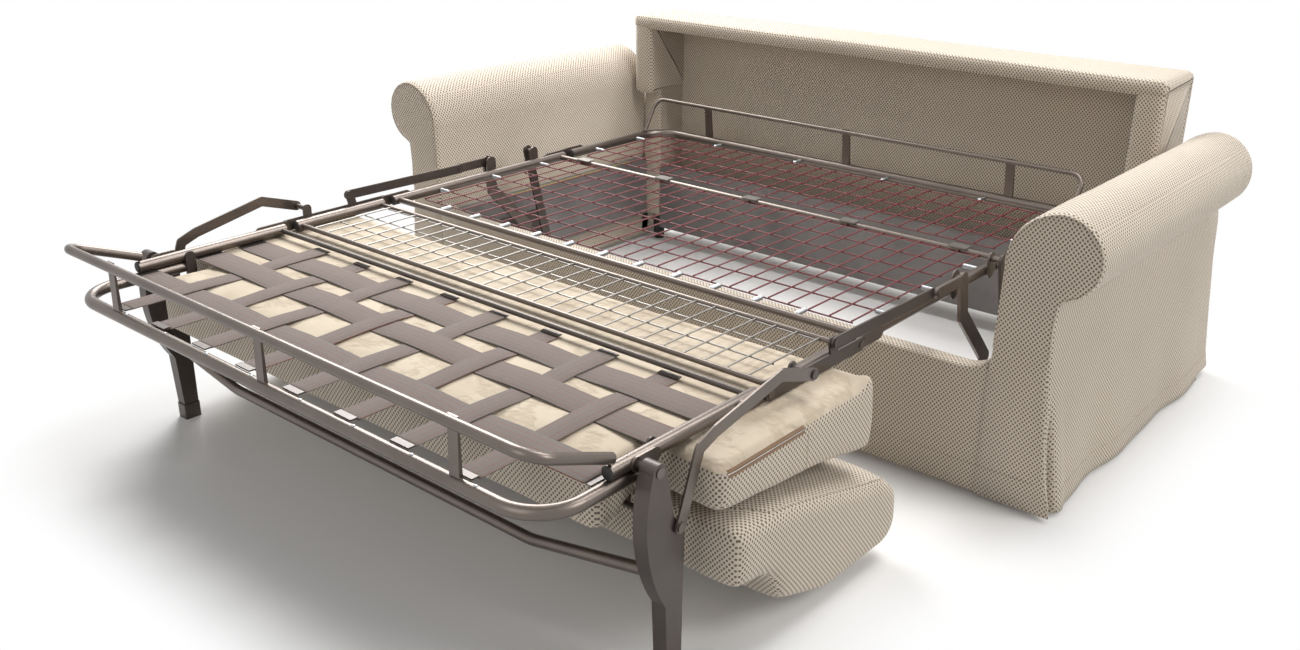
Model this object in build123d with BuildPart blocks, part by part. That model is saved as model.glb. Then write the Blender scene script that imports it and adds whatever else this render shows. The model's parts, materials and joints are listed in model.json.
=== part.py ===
"""Sofa bed shown opened: an upholstered sofa body with a folding steel bed frame.

The frame has four sections: head, middle, spacer and foot. Swing arms and rear links carry the
middle section, which stays level while it moves back and down into the sofa. The spacer then stands
upright, the foot section turns over to carry the seat cushion, and the back cushion turns upright.

Units are millimetres. +X is the sofa's left as one sits on it, -Y is the front, +Z is up. Lengths
along the bed are measured from the crossbar and then moved so that the origin lies on the floor
under the middle of the whole object.
"""
import os
from math import atan2, cos, degrees, pi, sin

from build123d import *

os.makedirs("parts", exist_ok=True)

# Bed frame
BED_Z = 420.0
RAIL_X = 720.0
TUBE_R = 13.0
TUBE_WALL = 1.5
HEAD_PIVOT_Y = 35.0
HEAD_END_Y = 466.0
MIDDLE_END_Y = -645.0
SPACER_LENGTH = 300.0
FOOT_LENGTH = 544.0
FOOT_RAIL_LENGTH = 400.0
HINGE_GAP = 17.0
HEAD_CORNER_R = 90.0
FOOT_CORNER_R = 85.0
FOOT_TUBE_OVERLAP = 115.0

# Side links, stacked outwards from the rails
PLATE = 4.0
LANE_GAP = 1.0
PIN_R = 6.0
SWING_PIN_R = 7.0
PIN_FIT = 0.05
PIN_HEAD = 3.0
THIN_HEAD = 1.5
HEAD_PLAY = 0.3
HINGE_PLATE_R = 14.0
LINK_WIDTH = 24.0
SWING_ARM_T = 8.0
SWING_ARM_WIDTH = 34.0
REAR_LINK_T = 6.0
REAR_LINK_WIDTH = 30.0
REAR_LINK_STEP = 170.0
SWING_TOP = (-262.0, 451.0)
SWING_BASE_DROP = 332.8
SWING_BASE_BACK = 82.0
HORN_LENGTH = 110.0
SPACER_HORN = (-104.0, 37.0)
LEG_LINK_HORN = (65.0, 29.0)

# Mesh, springs and belts
WIRE = 4.0
SIDE_SPRING_LENGTH = 39.0
MESH_CELLS_ACROSS = 26
MIDDLE_CELLS = 6
HEAD_CELLS = 4
SPACER_CELLS = 3
MESH_EDGE_GAP = 42.0
CROSS_ROD_R = 8.0
SPRING_WIRE = 1.8
SPRING_R = 5.0
SPRING_TURNS = 4
BELT_T = 2.5
LONG_BELT_WIDTH = 52.0
CROSS_BELT_WIDTH = 72.0
LONG_BELTS = 8
LONG_BELT_PITCH = 154.0
CROSS_BELT_STATIONS = (-1060.0, -1172.0, -1340.0)
CROSSBAR_CLIPS = 5
CLIP_PITCH = 305.0

# Head rod and foot hoop
HEAD_ROD_R = 6.0
HEAD_ROD_Z = 530.0
HEAD_ROD_Y = 448.0
HEAD_BRACKET_PITCH = 510.0
HOOP_R = 10.0
HOOP_Y = -1500.0
HOOP_Z = 508.0
HOOP_BACK_Y = -1335.0
HOOP_BRACKET_PITCH = 533.0

# Front legs
LEG_PIVOT_Y = -1291.0
LEG_T = 30.0
LEG_KNEE_Z = 165.0
LEG_FOOT_WIDTH = 36.0
LEG_CAP_H = 38.0
CAP_WALL = 2.5
LEG_LINK_PIN = (45.0, -114.0)
STRETCHER_R = 11.0
STRETCHER_Y = -1280.0
STRETCHER_Z = 170.0
STRETCHER_HALF = 474.0
STRETCHER_END = (-1290.0, 232.0)
STRETCHER_BEND_R = 120.0

# Cushions
CUSHION_FRONT_Y = -1195.0
SEAT_END_Y = -712.0
SEAT_TOP_Z = 403.7
SEAT_HALF_WIDTH = 838.0
NOSE_FRONT_Y = -1337.0
NOSE_HALF_WIDTH = 682.0
NOSE_LOW_Z = 272.0
NOSE_CLEARANCE = 25.0
BACK_HALF_WIDTH = 866.0
BACK_PAD_END_Y = -630.0
BACK_PAD_LOW_Z = 24.0
BACK_HINGE = (-1225.0, 287.0)
BACK_HINGE_R = 6.0

# Sofa body
SOFA_FRONT_Y = -345.0
PANEL_T = 37.0
PANEL_TOP_Z = 295.0
COVER_T = 12.0
HEM_Z = 10.0
ARM_INNER_X = 868.0
ARM_WALL_X = 985.0
ARM_HEM_FLARE = 48.0
ROLL_R = 90.0
ROLL_Z = 572.0
ROLL_REAR_Y = 580.0
SHOULDER = (876.0, 530.0)
SHOULDER_CURVE = (909.0, 626.0)
WALL_KNEE = (6.0, 250.0)
ROLL_NOTCH = (18.0, 2.0)
BACK_FRONT_Y = 550.0
WING_FRONT_Y = 500.0
WING_FOOT_Z = 522.0
BACK_EDGE_R = 24.0
BACK_PANEL_Y = 668.0
BACK_REAR_Y = 702.0
BACK_TOP_Z = 778.0
BACK_LEDGE_Z = 758.0
LEDGE_LIP_Z = 742.0
LEDGE_LIP_T = 8.0
LEDGE_LIP_RISE = 14.0
BACK_CLEARANCE = 2.0
BACK_RETURN_WIDTH = 79.0
BASE_Z = 95.0
BOARD_T = 22.0
REAR_BOARD_LOW_Z = 55.0
REAR_BOARD_TOP_Z = 272.0
SOFA_FOOT_R = 22.0
MOUNT_PLATE_T = 8.0
MOUNT_MARGIN = 60.0
BOLT_R = 8.0

RAIL_INNER_X = RAIL_X - TUBE_R
MESH_HALF_WIDTH = RAIL_INNER_X - SIDE_SPRING_LENGTH
BACK_HALF = ARM_INNER_X - BACK_CLEARANCE
RECESS_HALF = BACK_HALF - BACK_RETURN_WIDTH
FRAME_MIDDLE_Y = (HOOP_Y - HOOP_R + BACK_REAR_Y) / 2
FOOT_HINGE_Y = MIDDLE_END_Y - SPACER_LENGTH
FOOT_END_Y = FOOT_HINGE_Y - FOOT_LENGTH
FOOT_TUBE_Z = BED_Z - 2 * TUBE_R

# Lanes for the flat links beside the right-hand rail: inner faces
LANE_ONE = RAIL_X + TUBE_R
LANE_TWO = LANE_ONE + PLATE + LANE_GAP
LANE_THREE = LANE_TWO + PLATE + 2 * LANE_GAP
LANE_FOUR = LANE_THREE + PLATE + LANE_GAP
LANE_FIVE = LANE_FOUR + SWING_ARM_T + 2 * LANE_GAP
LEG_LANE = LANE_FOUR + 2 * LANE_GAP
LEG_LINK_LANE = LEG_LANE + LEG_T + HEAD_PLAY + THIN_HEAD + LANE_GAP
MOUNT_X = ARM_INNER_X - BOARD_T - MOUNT_PLATE_T


def bed(y):
    """Y in the part's frame of a station measured from the crossbar."""
    return y - FRAME_MIDDLE_Y


def spot(point):
    """Side-view point (y from the crossbar, z) in the part's frame."""
    return (bed(point[0]), point[1])


SWING_BASE = (SWING_TOP[0] + SWING_BASE_BACK, SWING_TOP[1] - SWING_BASE_DROP)
REAR_TOP = (SWING_TOP[0] + REAR_LINK_STEP, SWING_TOP[1])
REAR_BASE = (SWING_BASE[0] + REAR_LINK_STEP, SWING_BASE[1])
HORN_END = (SWING_TOP[0] - HORN_LENGTH, SWING_TOP[1])
DRIVE_PIN = (MIDDLE_END_Y + SPACER_HORN[0], BED_Z + SPACER_HORN[1])
LEG_LINK_REAR = (FOOT_HINGE_Y + LEG_LINK_HORN[0], BED_Z + LEG_LINK_HORN[1])
LEG_PIVOT = (LEG_PIVOT_Y, BED_Z)
LEG_LINK_LOW = (LEG_PIVOT_Y + LEG_LINK_PIN[0], BED_Z + LEG_LINK_PIN[1])
HINGES = {
    "head": (HEAD_PIVOT_Y, BED_Z),
    "spacer": (MIDDLE_END_Y, BED_Z),
    "foot": (FOOT_HINGE_Y, BED_Z),
}


def bar_outline(points, width):
    """Flat bar of one width with round ends, through side-view points, on the current sketch."""
    for start, end in zip(points, points[1:]):
        (y0, z0), (y1, z1) = spot(start), spot(end)
        run = Vector(y1 - y0, z1 - z0)
        with Locations(((y0 + y1) / 2, (z0 + z1) / 2)):
            Rectangle(run.length, width, rotation=degrees(atan2(run.Y, run.X)))
    with Locations(*[spot(point) for point in points]):
        Circle(width / 2)


def pin_hole(point, radius):
    """Running hole for a pin, cut in the current sketch."""
    with Locations(spot(point)):
        Circle(radius + PIN_FIT, mode=Mode.SUBTRACT)


def side_pin(point, radius, start_x, length):
    """Round pin along X from start_x, on the current part."""
    y, z = spot(point)
    with BuildSketch(Plane.YZ.offset(start_x)) as section:
        with Locations((y, z)):
            Circle(radius)
    extrude(section.sketch, amount=length)


def side_plate(points, width, start_x, thickness, holes=()):
    """Flat side plate with running holes, on the current part."""
    with BuildSketch(Plane.YZ.offset(start_x)) as section:
        bar_outline(points, width)
        for point, radius in holes:
            pin_hole(point, radius)
    extrude(section.sketch, amount=thickness)


def hinge_pin(point):
    """Section hinge pin through lane two, with a thin head that stays clear of lane three."""
    head_x = LANE_TWO + PLATE + HEAD_PLAY
    side_pin(point, PIN_R, LANE_ONE + PLATE, head_x - LANE_ONE - PLATE)
    side_pin(point, PIN_R + PIN_HEAD, head_x, THIN_HEAD)


def straight_tube(start_y, end_y, x, z, radius, wall):
    """Tube along Y between two stations, on the current part."""
    length = end_y - start_y
    with Locations(Location((x, bed(start_y) + length / 2, z), (90, 0, 0))):
        Cylinder(radius, length)
        Cylinder(radius - wall, length, mode=Mode.SUBTRACT)


def cross_rod(y, z, half_width, radius):
    """Round rod along X at one station, on the current part."""
    with Locations(Location((0, bed(y), z), (0, 90, 0))):
        Cylinder(radius, 2 * half_width)


def bent_tube(points, corner_r, radius, wall=0.0):
    """Tube swept along straight runs joined by tangent arcs, on the current part."""
    with BuildLine() as path:
        FilletPolyline(*points, radius=corner_r)
    with BuildSketch(Plane(origin=path.line @ 0, z_dir=path.line % 0)) as section:
        Circle(radius)
        if wall:
            Circle(radius - wall, mode=Mode.SUBTRACT)
    sweep(section.sketch, path=path.line)


def wire_mesh(start_y, end_y, cells):
    """Welded wire mesh as one holed sheet between two stations, on the current part."""
    length = end_y - start_y
    pitch_x = (2 * MESH_HALF_WIDTH - WIRE) / MESH_CELLS_ACROSS
    pitch_y = (length - WIRE) / cells
    with BuildSketch(Plane.XY.offset(BED_Z - WIRE / 2)) as net:
        with Locations((0, bed(start_y) + length / 2)):
            Rectangle(2 * MESH_HALF_WIDTH, length)
            with GridLocations(pitch_x, pitch_y, MESH_CELLS_ACROSS, cells):
                Rectangle(pitch_x - WIRE, pitch_y - WIRE, mode=Mode.SUBTRACT)
    extrude(net.sketch, amount=WIRE)


def spring_point(turn, length):
    """Point of the spring's centre line, in turns from its start, along its own Z axis."""
    angle = 2 * pi * turn
    rise = SPRING_WIRE / 2 + (length - SPRING_WIRE) * turn / SPRING_TURNS
    return Vector(SPRING_R * cos(angle), SPRING_R * sin(angle), rise)


def coil_spring(length):
    """One tension spring along Z, swept through arcs of a quarter turn.

    The start of the coil stands at +X of the axis.
    """
    quarters = 4 * SPRING_TURNS
    with BuildPart() as coil:
        with BuildLine() as path:
            for index in range(quarters):
                start = index / 4
                ThreePointArc(
                    spring_point(start, length),
                    spring_point(start + 0.125, length),
                    spring_point(start + 0.25, length),
                )
        with BuildSketch(Plane(origin=path.line @ 0, z_dir=path.line % 0)):
            RegularPolygon(SPRING_WIRE / 2, 8)
        sweep(path=path.line)
    gap = (spring_point(1, length) - spring_point(0, length)).length - SPRING_WIRE
    print(f"spring of {length:.0f} mm: least gap between turns {gap:.2f} mm")
    return coil.part


def padded_block(outline, half_width, corner_r, draw_in):
    """Cushion lofted across its width: full in the middle, drawn in towards both ends.

    The outline holds side-view points, and draw_in is how far the ends lie inside it.
    """
    ys = [point[0] for point in outline]
    zs = [point[1] for point in outline]
    middle = ((min(ys) + max(ys)) / 2, (min(zs) + max(zs)) / 2)
    height = max(zs) - min(zs)
    stations = (
        (-half_width, draw_in),
        (-half_width + 0.6 * draw_in, 0.45 * draw_in),
        (-half_width + 2.0 * draw_in, 0.0),
        (half_width - 2.0 * draw_in, 0.0),
        (half_width - 0.6 * draw_in, 0.45 * draw_in),
        (half_width, draw_in),
    )
    sections = []
    for x, inset in stations:
        shrink = 1 - 2 * inset / height
        points = [
            spot((middle[0] + (y - middle[0]) * (1 - inset / 300.0), middle[1] + (z - middle[1]) * shrink))
            for y, z in outline
        ]
        with BuildSketch(Plane.YZ.offset(x)) as section:
            with BuildLine():
                FilletPolyline(*points, radius=corner_r * shrink, close=True)
            make_face()
        sections.append(section.sketch)
    loft(sections, ruled=True)


# Upholstered arms: a scroll roll along the top and a wall that flares to the hem
def arm_outline():
    """Front view of the right-hand arm, on the current sketch."""
    roll_top = (ARM_WALL_X, ROLL_Z + ROLL_R)
    notch = (ARM_WALL_X + ROLL_NOTCH[0], ROLL_Z - ROLL_R + ROLL_NOTCH[1])
    with BuildLine() as outline:
        Polyline(
            (ARM_WALL_X, notch[1]),
            (ARM_WALL_X + WALL_KNEE[0], WALL_KNEE[1]),
            (ARM_WALL_X + ARM_HEM_FLARE, HEM_Z),
            (ARM_INNER_X, HEM_Z),
            (ARM_INNER_X, PANEL_TOP_Z),
            SHOULDER,
        )
        ThreePointArc(SHOULDER, SHOULDER_CURVE, roll_top)
        ThreePointArc(
            roll_top,
            (ARM_WALL_X + ROLL_R * cos(pi / 4), ROLL_Z + ROLL_R * sin(pi / 4)),
            (ARM_WALL_X + ROLL_R, ROLL_Z),
        )
        ThreePointArc(
            (ARM_WALL_X + ROLL_R, ROLL_Z),
            (ARM_WALL_X + ROLL_R * cos(pi / 4), ROLL_Z - ROLL_R * sin(pi / 4)),
            notch,
        )
        Line(notch, (ARM_WALL_X, notch[1]))
    make_face(outline.edges())


ARM_SPAN = ROLL_REAR_Y - SOFA_FRONT_Y
ARM_TAIL_Y = BACK_PANEL_Y
SIDES = (("right", 1), ("left", -1))

for side, sign in SIDES:
    with BuildPart() as arm:
        with BuildSketch(Plane.XZ.offset(-bed(SOFA_FRONT_Y))):
            arm_outline()
        extrude(amount=-ARM_SPAN)
        with BuildSketch(Plane.XZ.offset(-bed(ROLL_REAR_Y))):
            with BuildLine():
                Polyline(
                    (ARM_INNER_X, HEM_Z),
                    (ARM_WALL_X + ARM_HEM_FLARE, HEM_Z),
                    (ARM_WALL_X + WALL_KNEE[0], WALL_KNEE[1]),
                    (ARM_WALL_X, ROLL_Z - ROLL_R),
                    (ARM_INNER_X, ROLL_Z - ROLL_R),
                    close=True,
                )
            make_face()
        extrude(amount=-(ARM_TAIL_Y - ROLL_REAR_Y))
        if sign < 0:
            mirror(about=Plane.YZ, mode=Mode.REPLACE)
    arm.part.label = f"arm_{side}"
    export_step(arm.part, f"parts/arm_{side}.step")

# Upholstered back: a deep recess under a lipped top ledge, which the head rod passes as it folds, and a
# wing at each end above the arm
with BuildPart() as back:
    with BuildSketch(Plane.YZ):
        with BuildLine():
            Polyline(
                (bed(BACK_FRONT_Y), BASE_Z),
                (bed(BACK_FRONT_Y), WING_FOOT_Z),
                (bed(WING_FRONT_Y), WING_FOOT_Z),
                (bed(WING_FRONT_Y), BACK_TOP_Z),
                (bed(BACK_REAR_Y), BACK_TOP_Z),
                (bed(BACK_REAR_Y), BASE_Z),
                close=True,
            )
        make_face()
        fillet(vertices().group_by(Axis.Y)[-1], radius=BACK_EDGE_R)
    extrude(amount=BACK_HALF, both=True)
    with BuildSketch(Plane.YZ):
        with BuildLine():
            Polyline(
                (bed(WING_FRONT_Y), BASE_Z),
                (bed(WING_FRONT_Y), LEDGE_LIP_Z),
                (bed(WING_FRONT_Y + LEDGE_LIP_T), LEDGE_LIP_Z),
                (bed(WING_FRONT_Y + LEDGE_LIP_T + LEDGE_LIP_RISE), BACK_LEDGE_Z),
                (bed(BACK_PANEL_Y), BACK_LEDGE_Z),
                (bed(BACK_PANEL_Y), BASE_Z),
                close=True,
            )
        make_face()
    extrude(amount=RECESS_HALF, both=True, mode=Mode.SUBTRACT)
back.part.label = "back"
export_step(back.part, "parts/back.step")

# Front panel: an upholstered face in front of a board
with BuildPart() as front_cover:
    with BuildSketch(Plane.YZ):
        with BuildLine():
            Polyline(
                (bed(SOFA_FRONT_Y), HEM_Z),
                (bed(SOFA_FRONT_Y), PANEL_TOP_Z),
                (bed(SOFA_FRONT_Y + COVER_T), PANEL_TOP_Z),
                (bed(SOFA_FRONT_Y + COVER_T), HEM_Z),
                close=True,
            )
        make_face()
        fillet(vertices().group_by(Axis.Y)[-1].sort_by(Axis.X)[0], radius=0.8 * COVER_T)
    extrude(amount=ARM_INNER_X, both=True)
front_cover.part.label = "front_cover"
export_step(front_cover.part, "parts/front_cover.step")

with BuildPart() as front_board:
    with BuildSketch(Plane.YZ):
        with BuildLine():
            Polyline(
                (bed(SOFA_FRONT_Y + COVER_T), HEM_Z + COVER_T),
                (bed(SOFA_FRONT_Y + COVER_T), PANEL_TOP_Z),
                (bed(SOFA_FRONT_Y + PANEL_T), PANEL_TOP_Z),
                (bed(SOFA_FRONT_Y + PANEL_T), HEM_Z + COVER_T),
                close=True,
            )
        make_face()
        fillet(vertices().group_by(Axis.Y)[-1].sort_by(Axis.X)[-1], radius=0.5 * (PANEL_T - COVER_T))
    extrude(amount=ARM_INNER_X, both=True)
front_board.part.label = "front_board"
export_step(front_board.part, "parts/front_board.step")

# Wooden side boards that carry the steel frame
BOARD_SPAN = BACK_FRONT_Y - (SOFA_FRONT_Y + PANEL_T)
with BuildPart() as side_boards:
    with BuildSketch(Plane.YZ.offset(ARM_INNER_X - BOARD_T)):
        with Locations(spot((SOFA_FRONT_Y + PANEL_T + BOARD_SPAN / 2, (BASE_Z + PANEL_TOP_Z) / 2))):
            Rectangle(BOARD_SPAN, PANEL_TOP_Z - BASE_Z)
    extrude(amount=BOARD_T)
    mirror(about=Plane.YZ)
side_boards.part.label = "side_boards"
export_step(side_boards.part, "parts/side_boards.step")

# Rear board across the recess, between the lower ends of the back
with BuildPart() as rear_board:
    with BuildSketch(Plane.YZ):
        with Locations(spot((BACK_FRONT_Y + BOARD_T / 2, (REAR_BOARD_LOW_Z + REAR_BOARD_TOP_Z) / 2))):
            Rectangle(BOARD_T, REAR_BOARD_TOP_Z - REAR_BOARD_LOW_Z)
    extrude(amount=RECESS_HALF, both=True)
rear_board.part.label = "rear_board"
export_step(rear_board.part, "parts/rear_board.step")

with BuildPart() as sofa_feet:
    for foot_x, foot_y in (
        (ARM_INNER_X - SOFA_FOOT_R - 1.0, SOFA_FRONT_Y + PANEL_T + 2 * SOFA_FOOT_R),
        ((RECESS_HALF + BACK_HALF) / 2, BACK_FRONT_Y + 2 * SOFA_FOOT_R),
    ):
        for sign in (1, -1):
            with BuildSketch(Plane.XY):
                with Locations((sign * foot_x, bed(foot_y))):
                    Circle(SOFA_FOOT_R * 0.8)
            with BuildSketch(Plane.XY.offset(BASE_Z)):
                with Locations((sign * foot_x, bed(foot_y))):
                    Circle(SOFA_FOOT_R)
            loft()
sofa_feet.part.label = "sofa_feet"
export_step(sofa_feet.part, "parts/sofa_feet.step")

# Steel mount plates on the side boards, with the pivot pins of both links
MOUNT_LOW_Z = BASE_Z
MOUNT_HIGH_Z = SWING_BASE[1] + 110.0
MOUNT_FRONT_Y = SWING_BASE[0] - MOUNT_MARGIN
MOUNT_REAR_Y = REAR_BASE[0] + MOUNT_MARGIN
COLLAR_R = 2 * SWING_PIN_R
with BuildPart() as mount_plates:
    with BuildSketch(Plane.YZ.offset(MOUNT_X)):
        with Locations(spot(((MOUNT_FRONT_Y + MOUNT_REAR_Y) / 2, (MOUNT_LOW_Z + MOUNT_HIGH_Z) / 2))):
            RectangleRounded(MOUNT_REAR_Y - MOUNT_FRONT_Y, MOUNT_HIGH_Z - MOUNT_LOW_Z, 18.0)
    extrude(amount=MOUNT_PLATE_T)
    for base, lane, thickness in (
        (SWING_BASE, LANE_FOUR, SWING_ARM_T),
        (REAR_BASE, LANE_FIVE, REAR_LINK_T),
    ):
        collar_x = lane + thickness + LANE_GAP
        side_pin(base, COLLAR_R, collar_x, MOUNT_X - collar_x)
        side_pin(base, SWING_PIN_R, lane - THIN_HEAD, collar_x - lane + THIN_HEAD)
    mirror(about=Plane.YZ)
mount_plates.part.label = "mount_plates"
export_step(mount_plates.part, "parts/mount_plates.step")

with BuildPart() as mount_bolts:
    for bolt_y in (MOUNT_FRONT_Y + 25.0, MOUNT_REAR_Y - 25.0):
        for bolt_z in (MOUNT_LOW_Z + 25.0, MOUNT_HIGH_Z - 25.0):
            with BuildSketch(Plane.YZ.offset(MOUNT_X)):
                with Locations(spot((bolt_y, bolt_z))):
                    RegularPolygon(BOLT_R, 6)
            extrude(amount=-0.7 * BOLT_R)
    mirror(about=Plane.YZ)
mount_bolts.part.label = "mount_bolts"
export_step(mount_bolts.part, "parts/mount_bolts.step")

# Swing arms: bent from the base pivot round to the top pivot, with a horn for the drive bar
ARM_BENDS = (
    SWING_BASE,
    (SWING_BASE[0] + 68.0, SWING_BASE[1] + 105.0),
    (SWING_TOP[0] + 18.0, SWING_TOP[1] - 90.0),
    SWING_TOP,
)
with BuildPart() as swing_arms:
    with BuildSketch(Plane.YZ.offset(LANE_FOUR)):
        bar_outline(ARM_BENDS, SWING_ARM_WIDTH)
        bar_outline((SWING_TOP, HORN_END), LINK_WIDTH)
        pin_hole(SWING_BASE, SWING_PIN_R)
        pin_hole(SWING_TOP, SWING_PIN_R)
    extrude(amount=SWING_ARM_T)
    side_pin(HORN_END, PIN_R, LANE_FOUR + SWING_ARM_T, PIN_HEAD)
    mirror(about=Plane.YZ)
swing_arms.part.label = "swing_arms"
export_step(swing_arms.part, "parts/swing_arms.step")

with BuildPart() as rear_links:
    side_plate(
        (REAR_BASE, REAR_TOP), REAR_LINK_WIDTH, LANE_FIVE, REAR_LINK_T,
        ((REAR_BASE, SWING_PIN_R), (REAR_TOP, SWING_PIN_R)),
    )
    mirror(about=Plane.YZ)
rear_links.part.label = "rear_links"
export_step(rear_links.part, "parts/rear_links.step")

# Middle section
with BuildPart() as middle_rails:
    straight_tube(MIDDLE_END_Y + HINGE_GAP, HEAD_PIVOT_Y - HINGE_GAP, RAIL_X, BED_Z, TUBE_R, TUBE_WALL)
    mirror(about=Plane.YZ)
middle_rails.part.label = "middle_rails"
export_step(middle_rails.part, "parts/middle_rails.step")

HINGE_PLATE_LENGTH = 75.0
with BuildPart() as middle_plates:
    for name, run in (("spacer", HINGE_PLATE_LENGTH), ("head", -HINGE_PLATE_LENGTH)):
        pivot = HINGES[name]
        side_plate(
            (pivot, (pivot[0] + run, BED_Z)), 2 * HINGE_PLATE_R, LANE_ONE, PLATE,
        )
        hinge_pin(pivot)
    side_plate((SWING_TOP, (SWING_TOP[0], BED_Z)), SWING_ARM_WIDTH, LANE_ONE, PLATE)
    side_plate((REAR_TOP, (REAR_TOP[0], BED_Z)), REAR_LINK_WIDTH, LANE_ONE, PLATE)
    side_pin(SWING_TOP, SWING_PIN_R, LANE_ONE + PLATE, LANE_FOUR + SWING_ARM_T + LANE_GAP - LANE_ONE - PLATE)
    side_pin(REAR_TOP, SWING_PIN_R, LANE_ONE + PLATE, LANE_FIVE + REAR_LINK_T + LANE_GAP - LANE_ONE - PLATE)
    mirror(about=Plane.YZ)
middle_plates.part.label = "middle_plates"
export_step(middle_plates.part, "parts/middle_plates.step")

MIDDLE_ROD_Y = MIDDLE_END_Y + HINGE_GAP + 2 * CROSS_ROD_R
with BuildPart() as middle_cross_rod:
    cross_rod(MIDDLE_ROD_Y, BED_Z, RAIL_INNER_X, CROSS_ROD_R)
middle_cross_rod.part.label = "middle_cross_rod"
export_step(middle_cross_rod.part, "parts/middle_cross_rod.step")

with BuildPart() as crossbar:
    cross_rod(0.0, BED_Z, RAIL_INNER_X, CROSS_ROD_R)
crossbar.part.label = "crossbar"
export_step(crossbar.part, "parts/crossbar.step")

CLIP_T = 3.0
with BuildPart() as crossbar_clips:
    with BuildSketch(Plane.XY.offset(BED_Z + CROSS_ROD_R)):
        with Locations((0, bed(0.0))):
            with GridLocations(CLIP_PITCH, 1.0, CROSSBAR_CLIPS, 1):
                RectangleRounded(46.0, 30.0, 4.0)
    extrude(amount=CLIP_T)
crossbar_clips.part.label = "crossbar_clips"
export_step(crossbar_clips.part, "parts/crossbar_clips.step")

MIDDLE_MESH_FRONT = MIDDLE_ROD_Y + CROSS_ROD_R + MESH_EDGE_GAP
with BuildPart() as middle_mesh:
    wire_mesh(MIDDLE_MESH_FRONT, -CROSS_ROD_R, MIDDLE_CELLS)
middle_mesh.part.label = "middle_mesh"
export_step(middle_mesh.part, "parts/middle_mesh.step")

# Tension springs: each starts on its tube or rail and ends on the mesh edge
front_spring = coil_spring(MESH_EDGE_GAP)
side_spring = coil_spring(RAIL_INNER_X - MESH_HALF_WIDTH)
FRONT_SPRINGS = 11
FRONT_SPRING_PITCH = 2 * MESH_HALF_WIDTH / (FRONT_SPRINGS + 1)
MIDDLE_SIDE_SPRINGS = 3
SIDE_SPRING_PITCH = 190.0
middle_mesh_middle = (MIDDLE_MESH_FRONT - CROSS_ROD_R) / 2
with BuildPart() as middle_springs:
    for index in range(FRONT_SPRINGS):
        x = (index - (FRONT_SPRINGS - 1) / 2) * FRONT_SPRING_PITCH
        add(front_spring.located(Location((x, bed(MIDDLE_MESH_FRONT - MESH_EDGE_GAP), BED_Z), (-90, 0, 0))))
    for index in range(MIDDLE_SIDE_SPRINGS):
        y = middle_mesh_middle + (index - (MIDDLE_SIDE_SPRINGS - 1) / 2) * SIDE_SPRING_PITCH
        add(side_spring.located(Location((MESH_HALF_WIDTH, bed(y), BED_Z), (0, 90, 90))))
        add(side_spring.located(Location((-MESH_HALF_WIDTH, bed(y), BED_Z), (0, -90, 90))))
middle_springs.part.label = "middle_springs"
export_step(middle_springs.part, "parts/middle_springs.step")

# Head section
HEAD_RAIL_START = HEAD_PIVOT_Y + HINGE_GAP
with BuildPart() as head_tube:
    bent_tube(
        (
            (-RAIL_X, bed(HEAD_RAIL_START), BED_Z),
            (-RAIL_X, bed(HEAD_END_Y), BED_Z),
            (RAIL_X, bed(HEAD_END_Y), BED_Z),
            (RAIL_X, bed(HEAD_RAIL_START), BED_Z),
        ),
        HEAD_CORNER_R, TUBE_R, TUBE_WALL,
    )
head_tube.part.label = "head_tube"
export_step(head_tube.part, "parts/head_tube.step")

PAD_START = 2 * HINGE_PLATE_R
with BuildPart() as head_plates:
    pivot = HINGES["head"]
    side_plate(
        (pivot, (pivot[0] + HINGE_PLATE_LENGTH, BED_Z)), 2 * HINGE_PLATE_R, LANE_TWO, PLATE,
        ((pivot, PIN_R),),
    )
    side_plate(
        ((pivot[0] + PAD_START, BED_Z), (pivot[0] + HINGE_PLATE_LENGTH, BED_Z)),
        TUBE_R, LANE_ONE, PLATE + LANE_GAP,
    )
    mirror(about=Plane.YZ)
head_plates.part.label = "head_plates"
export_step(head_plates.part, "parts/head_plates.step")

HEAD_MESH_FRONT = HEAD_RAIL_START + 2 * CROSS_ROD_R
HEAD_MESH_REAR = HEAD_END_Y - TUBE_R - (RAIL_INNER_X - MESH_HALF_WIDTH)
with BuildPart() as head_mesh:
    wire_mesh(HEAD_MESH_FRONT, HEAD_MESH_REAR, HEAD_CELLS)
head_mesh.part.label = "head_mesh"
export_step(head_mesh.part, "parts/head_mesh.step")

HEAD_SIDE_SPRINGS = 2
HEAD_END_SPRINGS = 4
HEAD_SPRING_PITCH = 300.0
with BuildPart() as head_springs:
    head_middle = (HEAD_MESH_FRONT + HEAD_MESH_REAR) / 2
    for index in range(HEAD_SIDE_SPRINGS):
        y = head_middle + (index - (HEAD_SIDE_SPRINGS - 1) / 2) * SIDE_SPRING_PITCH
        add(side_spring.located(Location((MESH_HALF_WIDTH, bed(y), BED_Z), (0, 90, 90))))
        add(side_spring.located(Location((-MESH_HALF_WIDTH, bed(y), BED_Z), (0, -90, 90))))
    for index in range(HEAD_END_SPRINGS):
        x = (index - (HEAD_END_SPRINGS - 1) / 2) * HEAD_SPRING_PITCH
        add(side_spring.located(Location((x, bed(HEAD_MESH_REAR), BED_Z), (-90, 0, 0))))
head_springs.part.label = "head_springs"
export_step(head_springs.part, "parts/head_springs.step")

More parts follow.
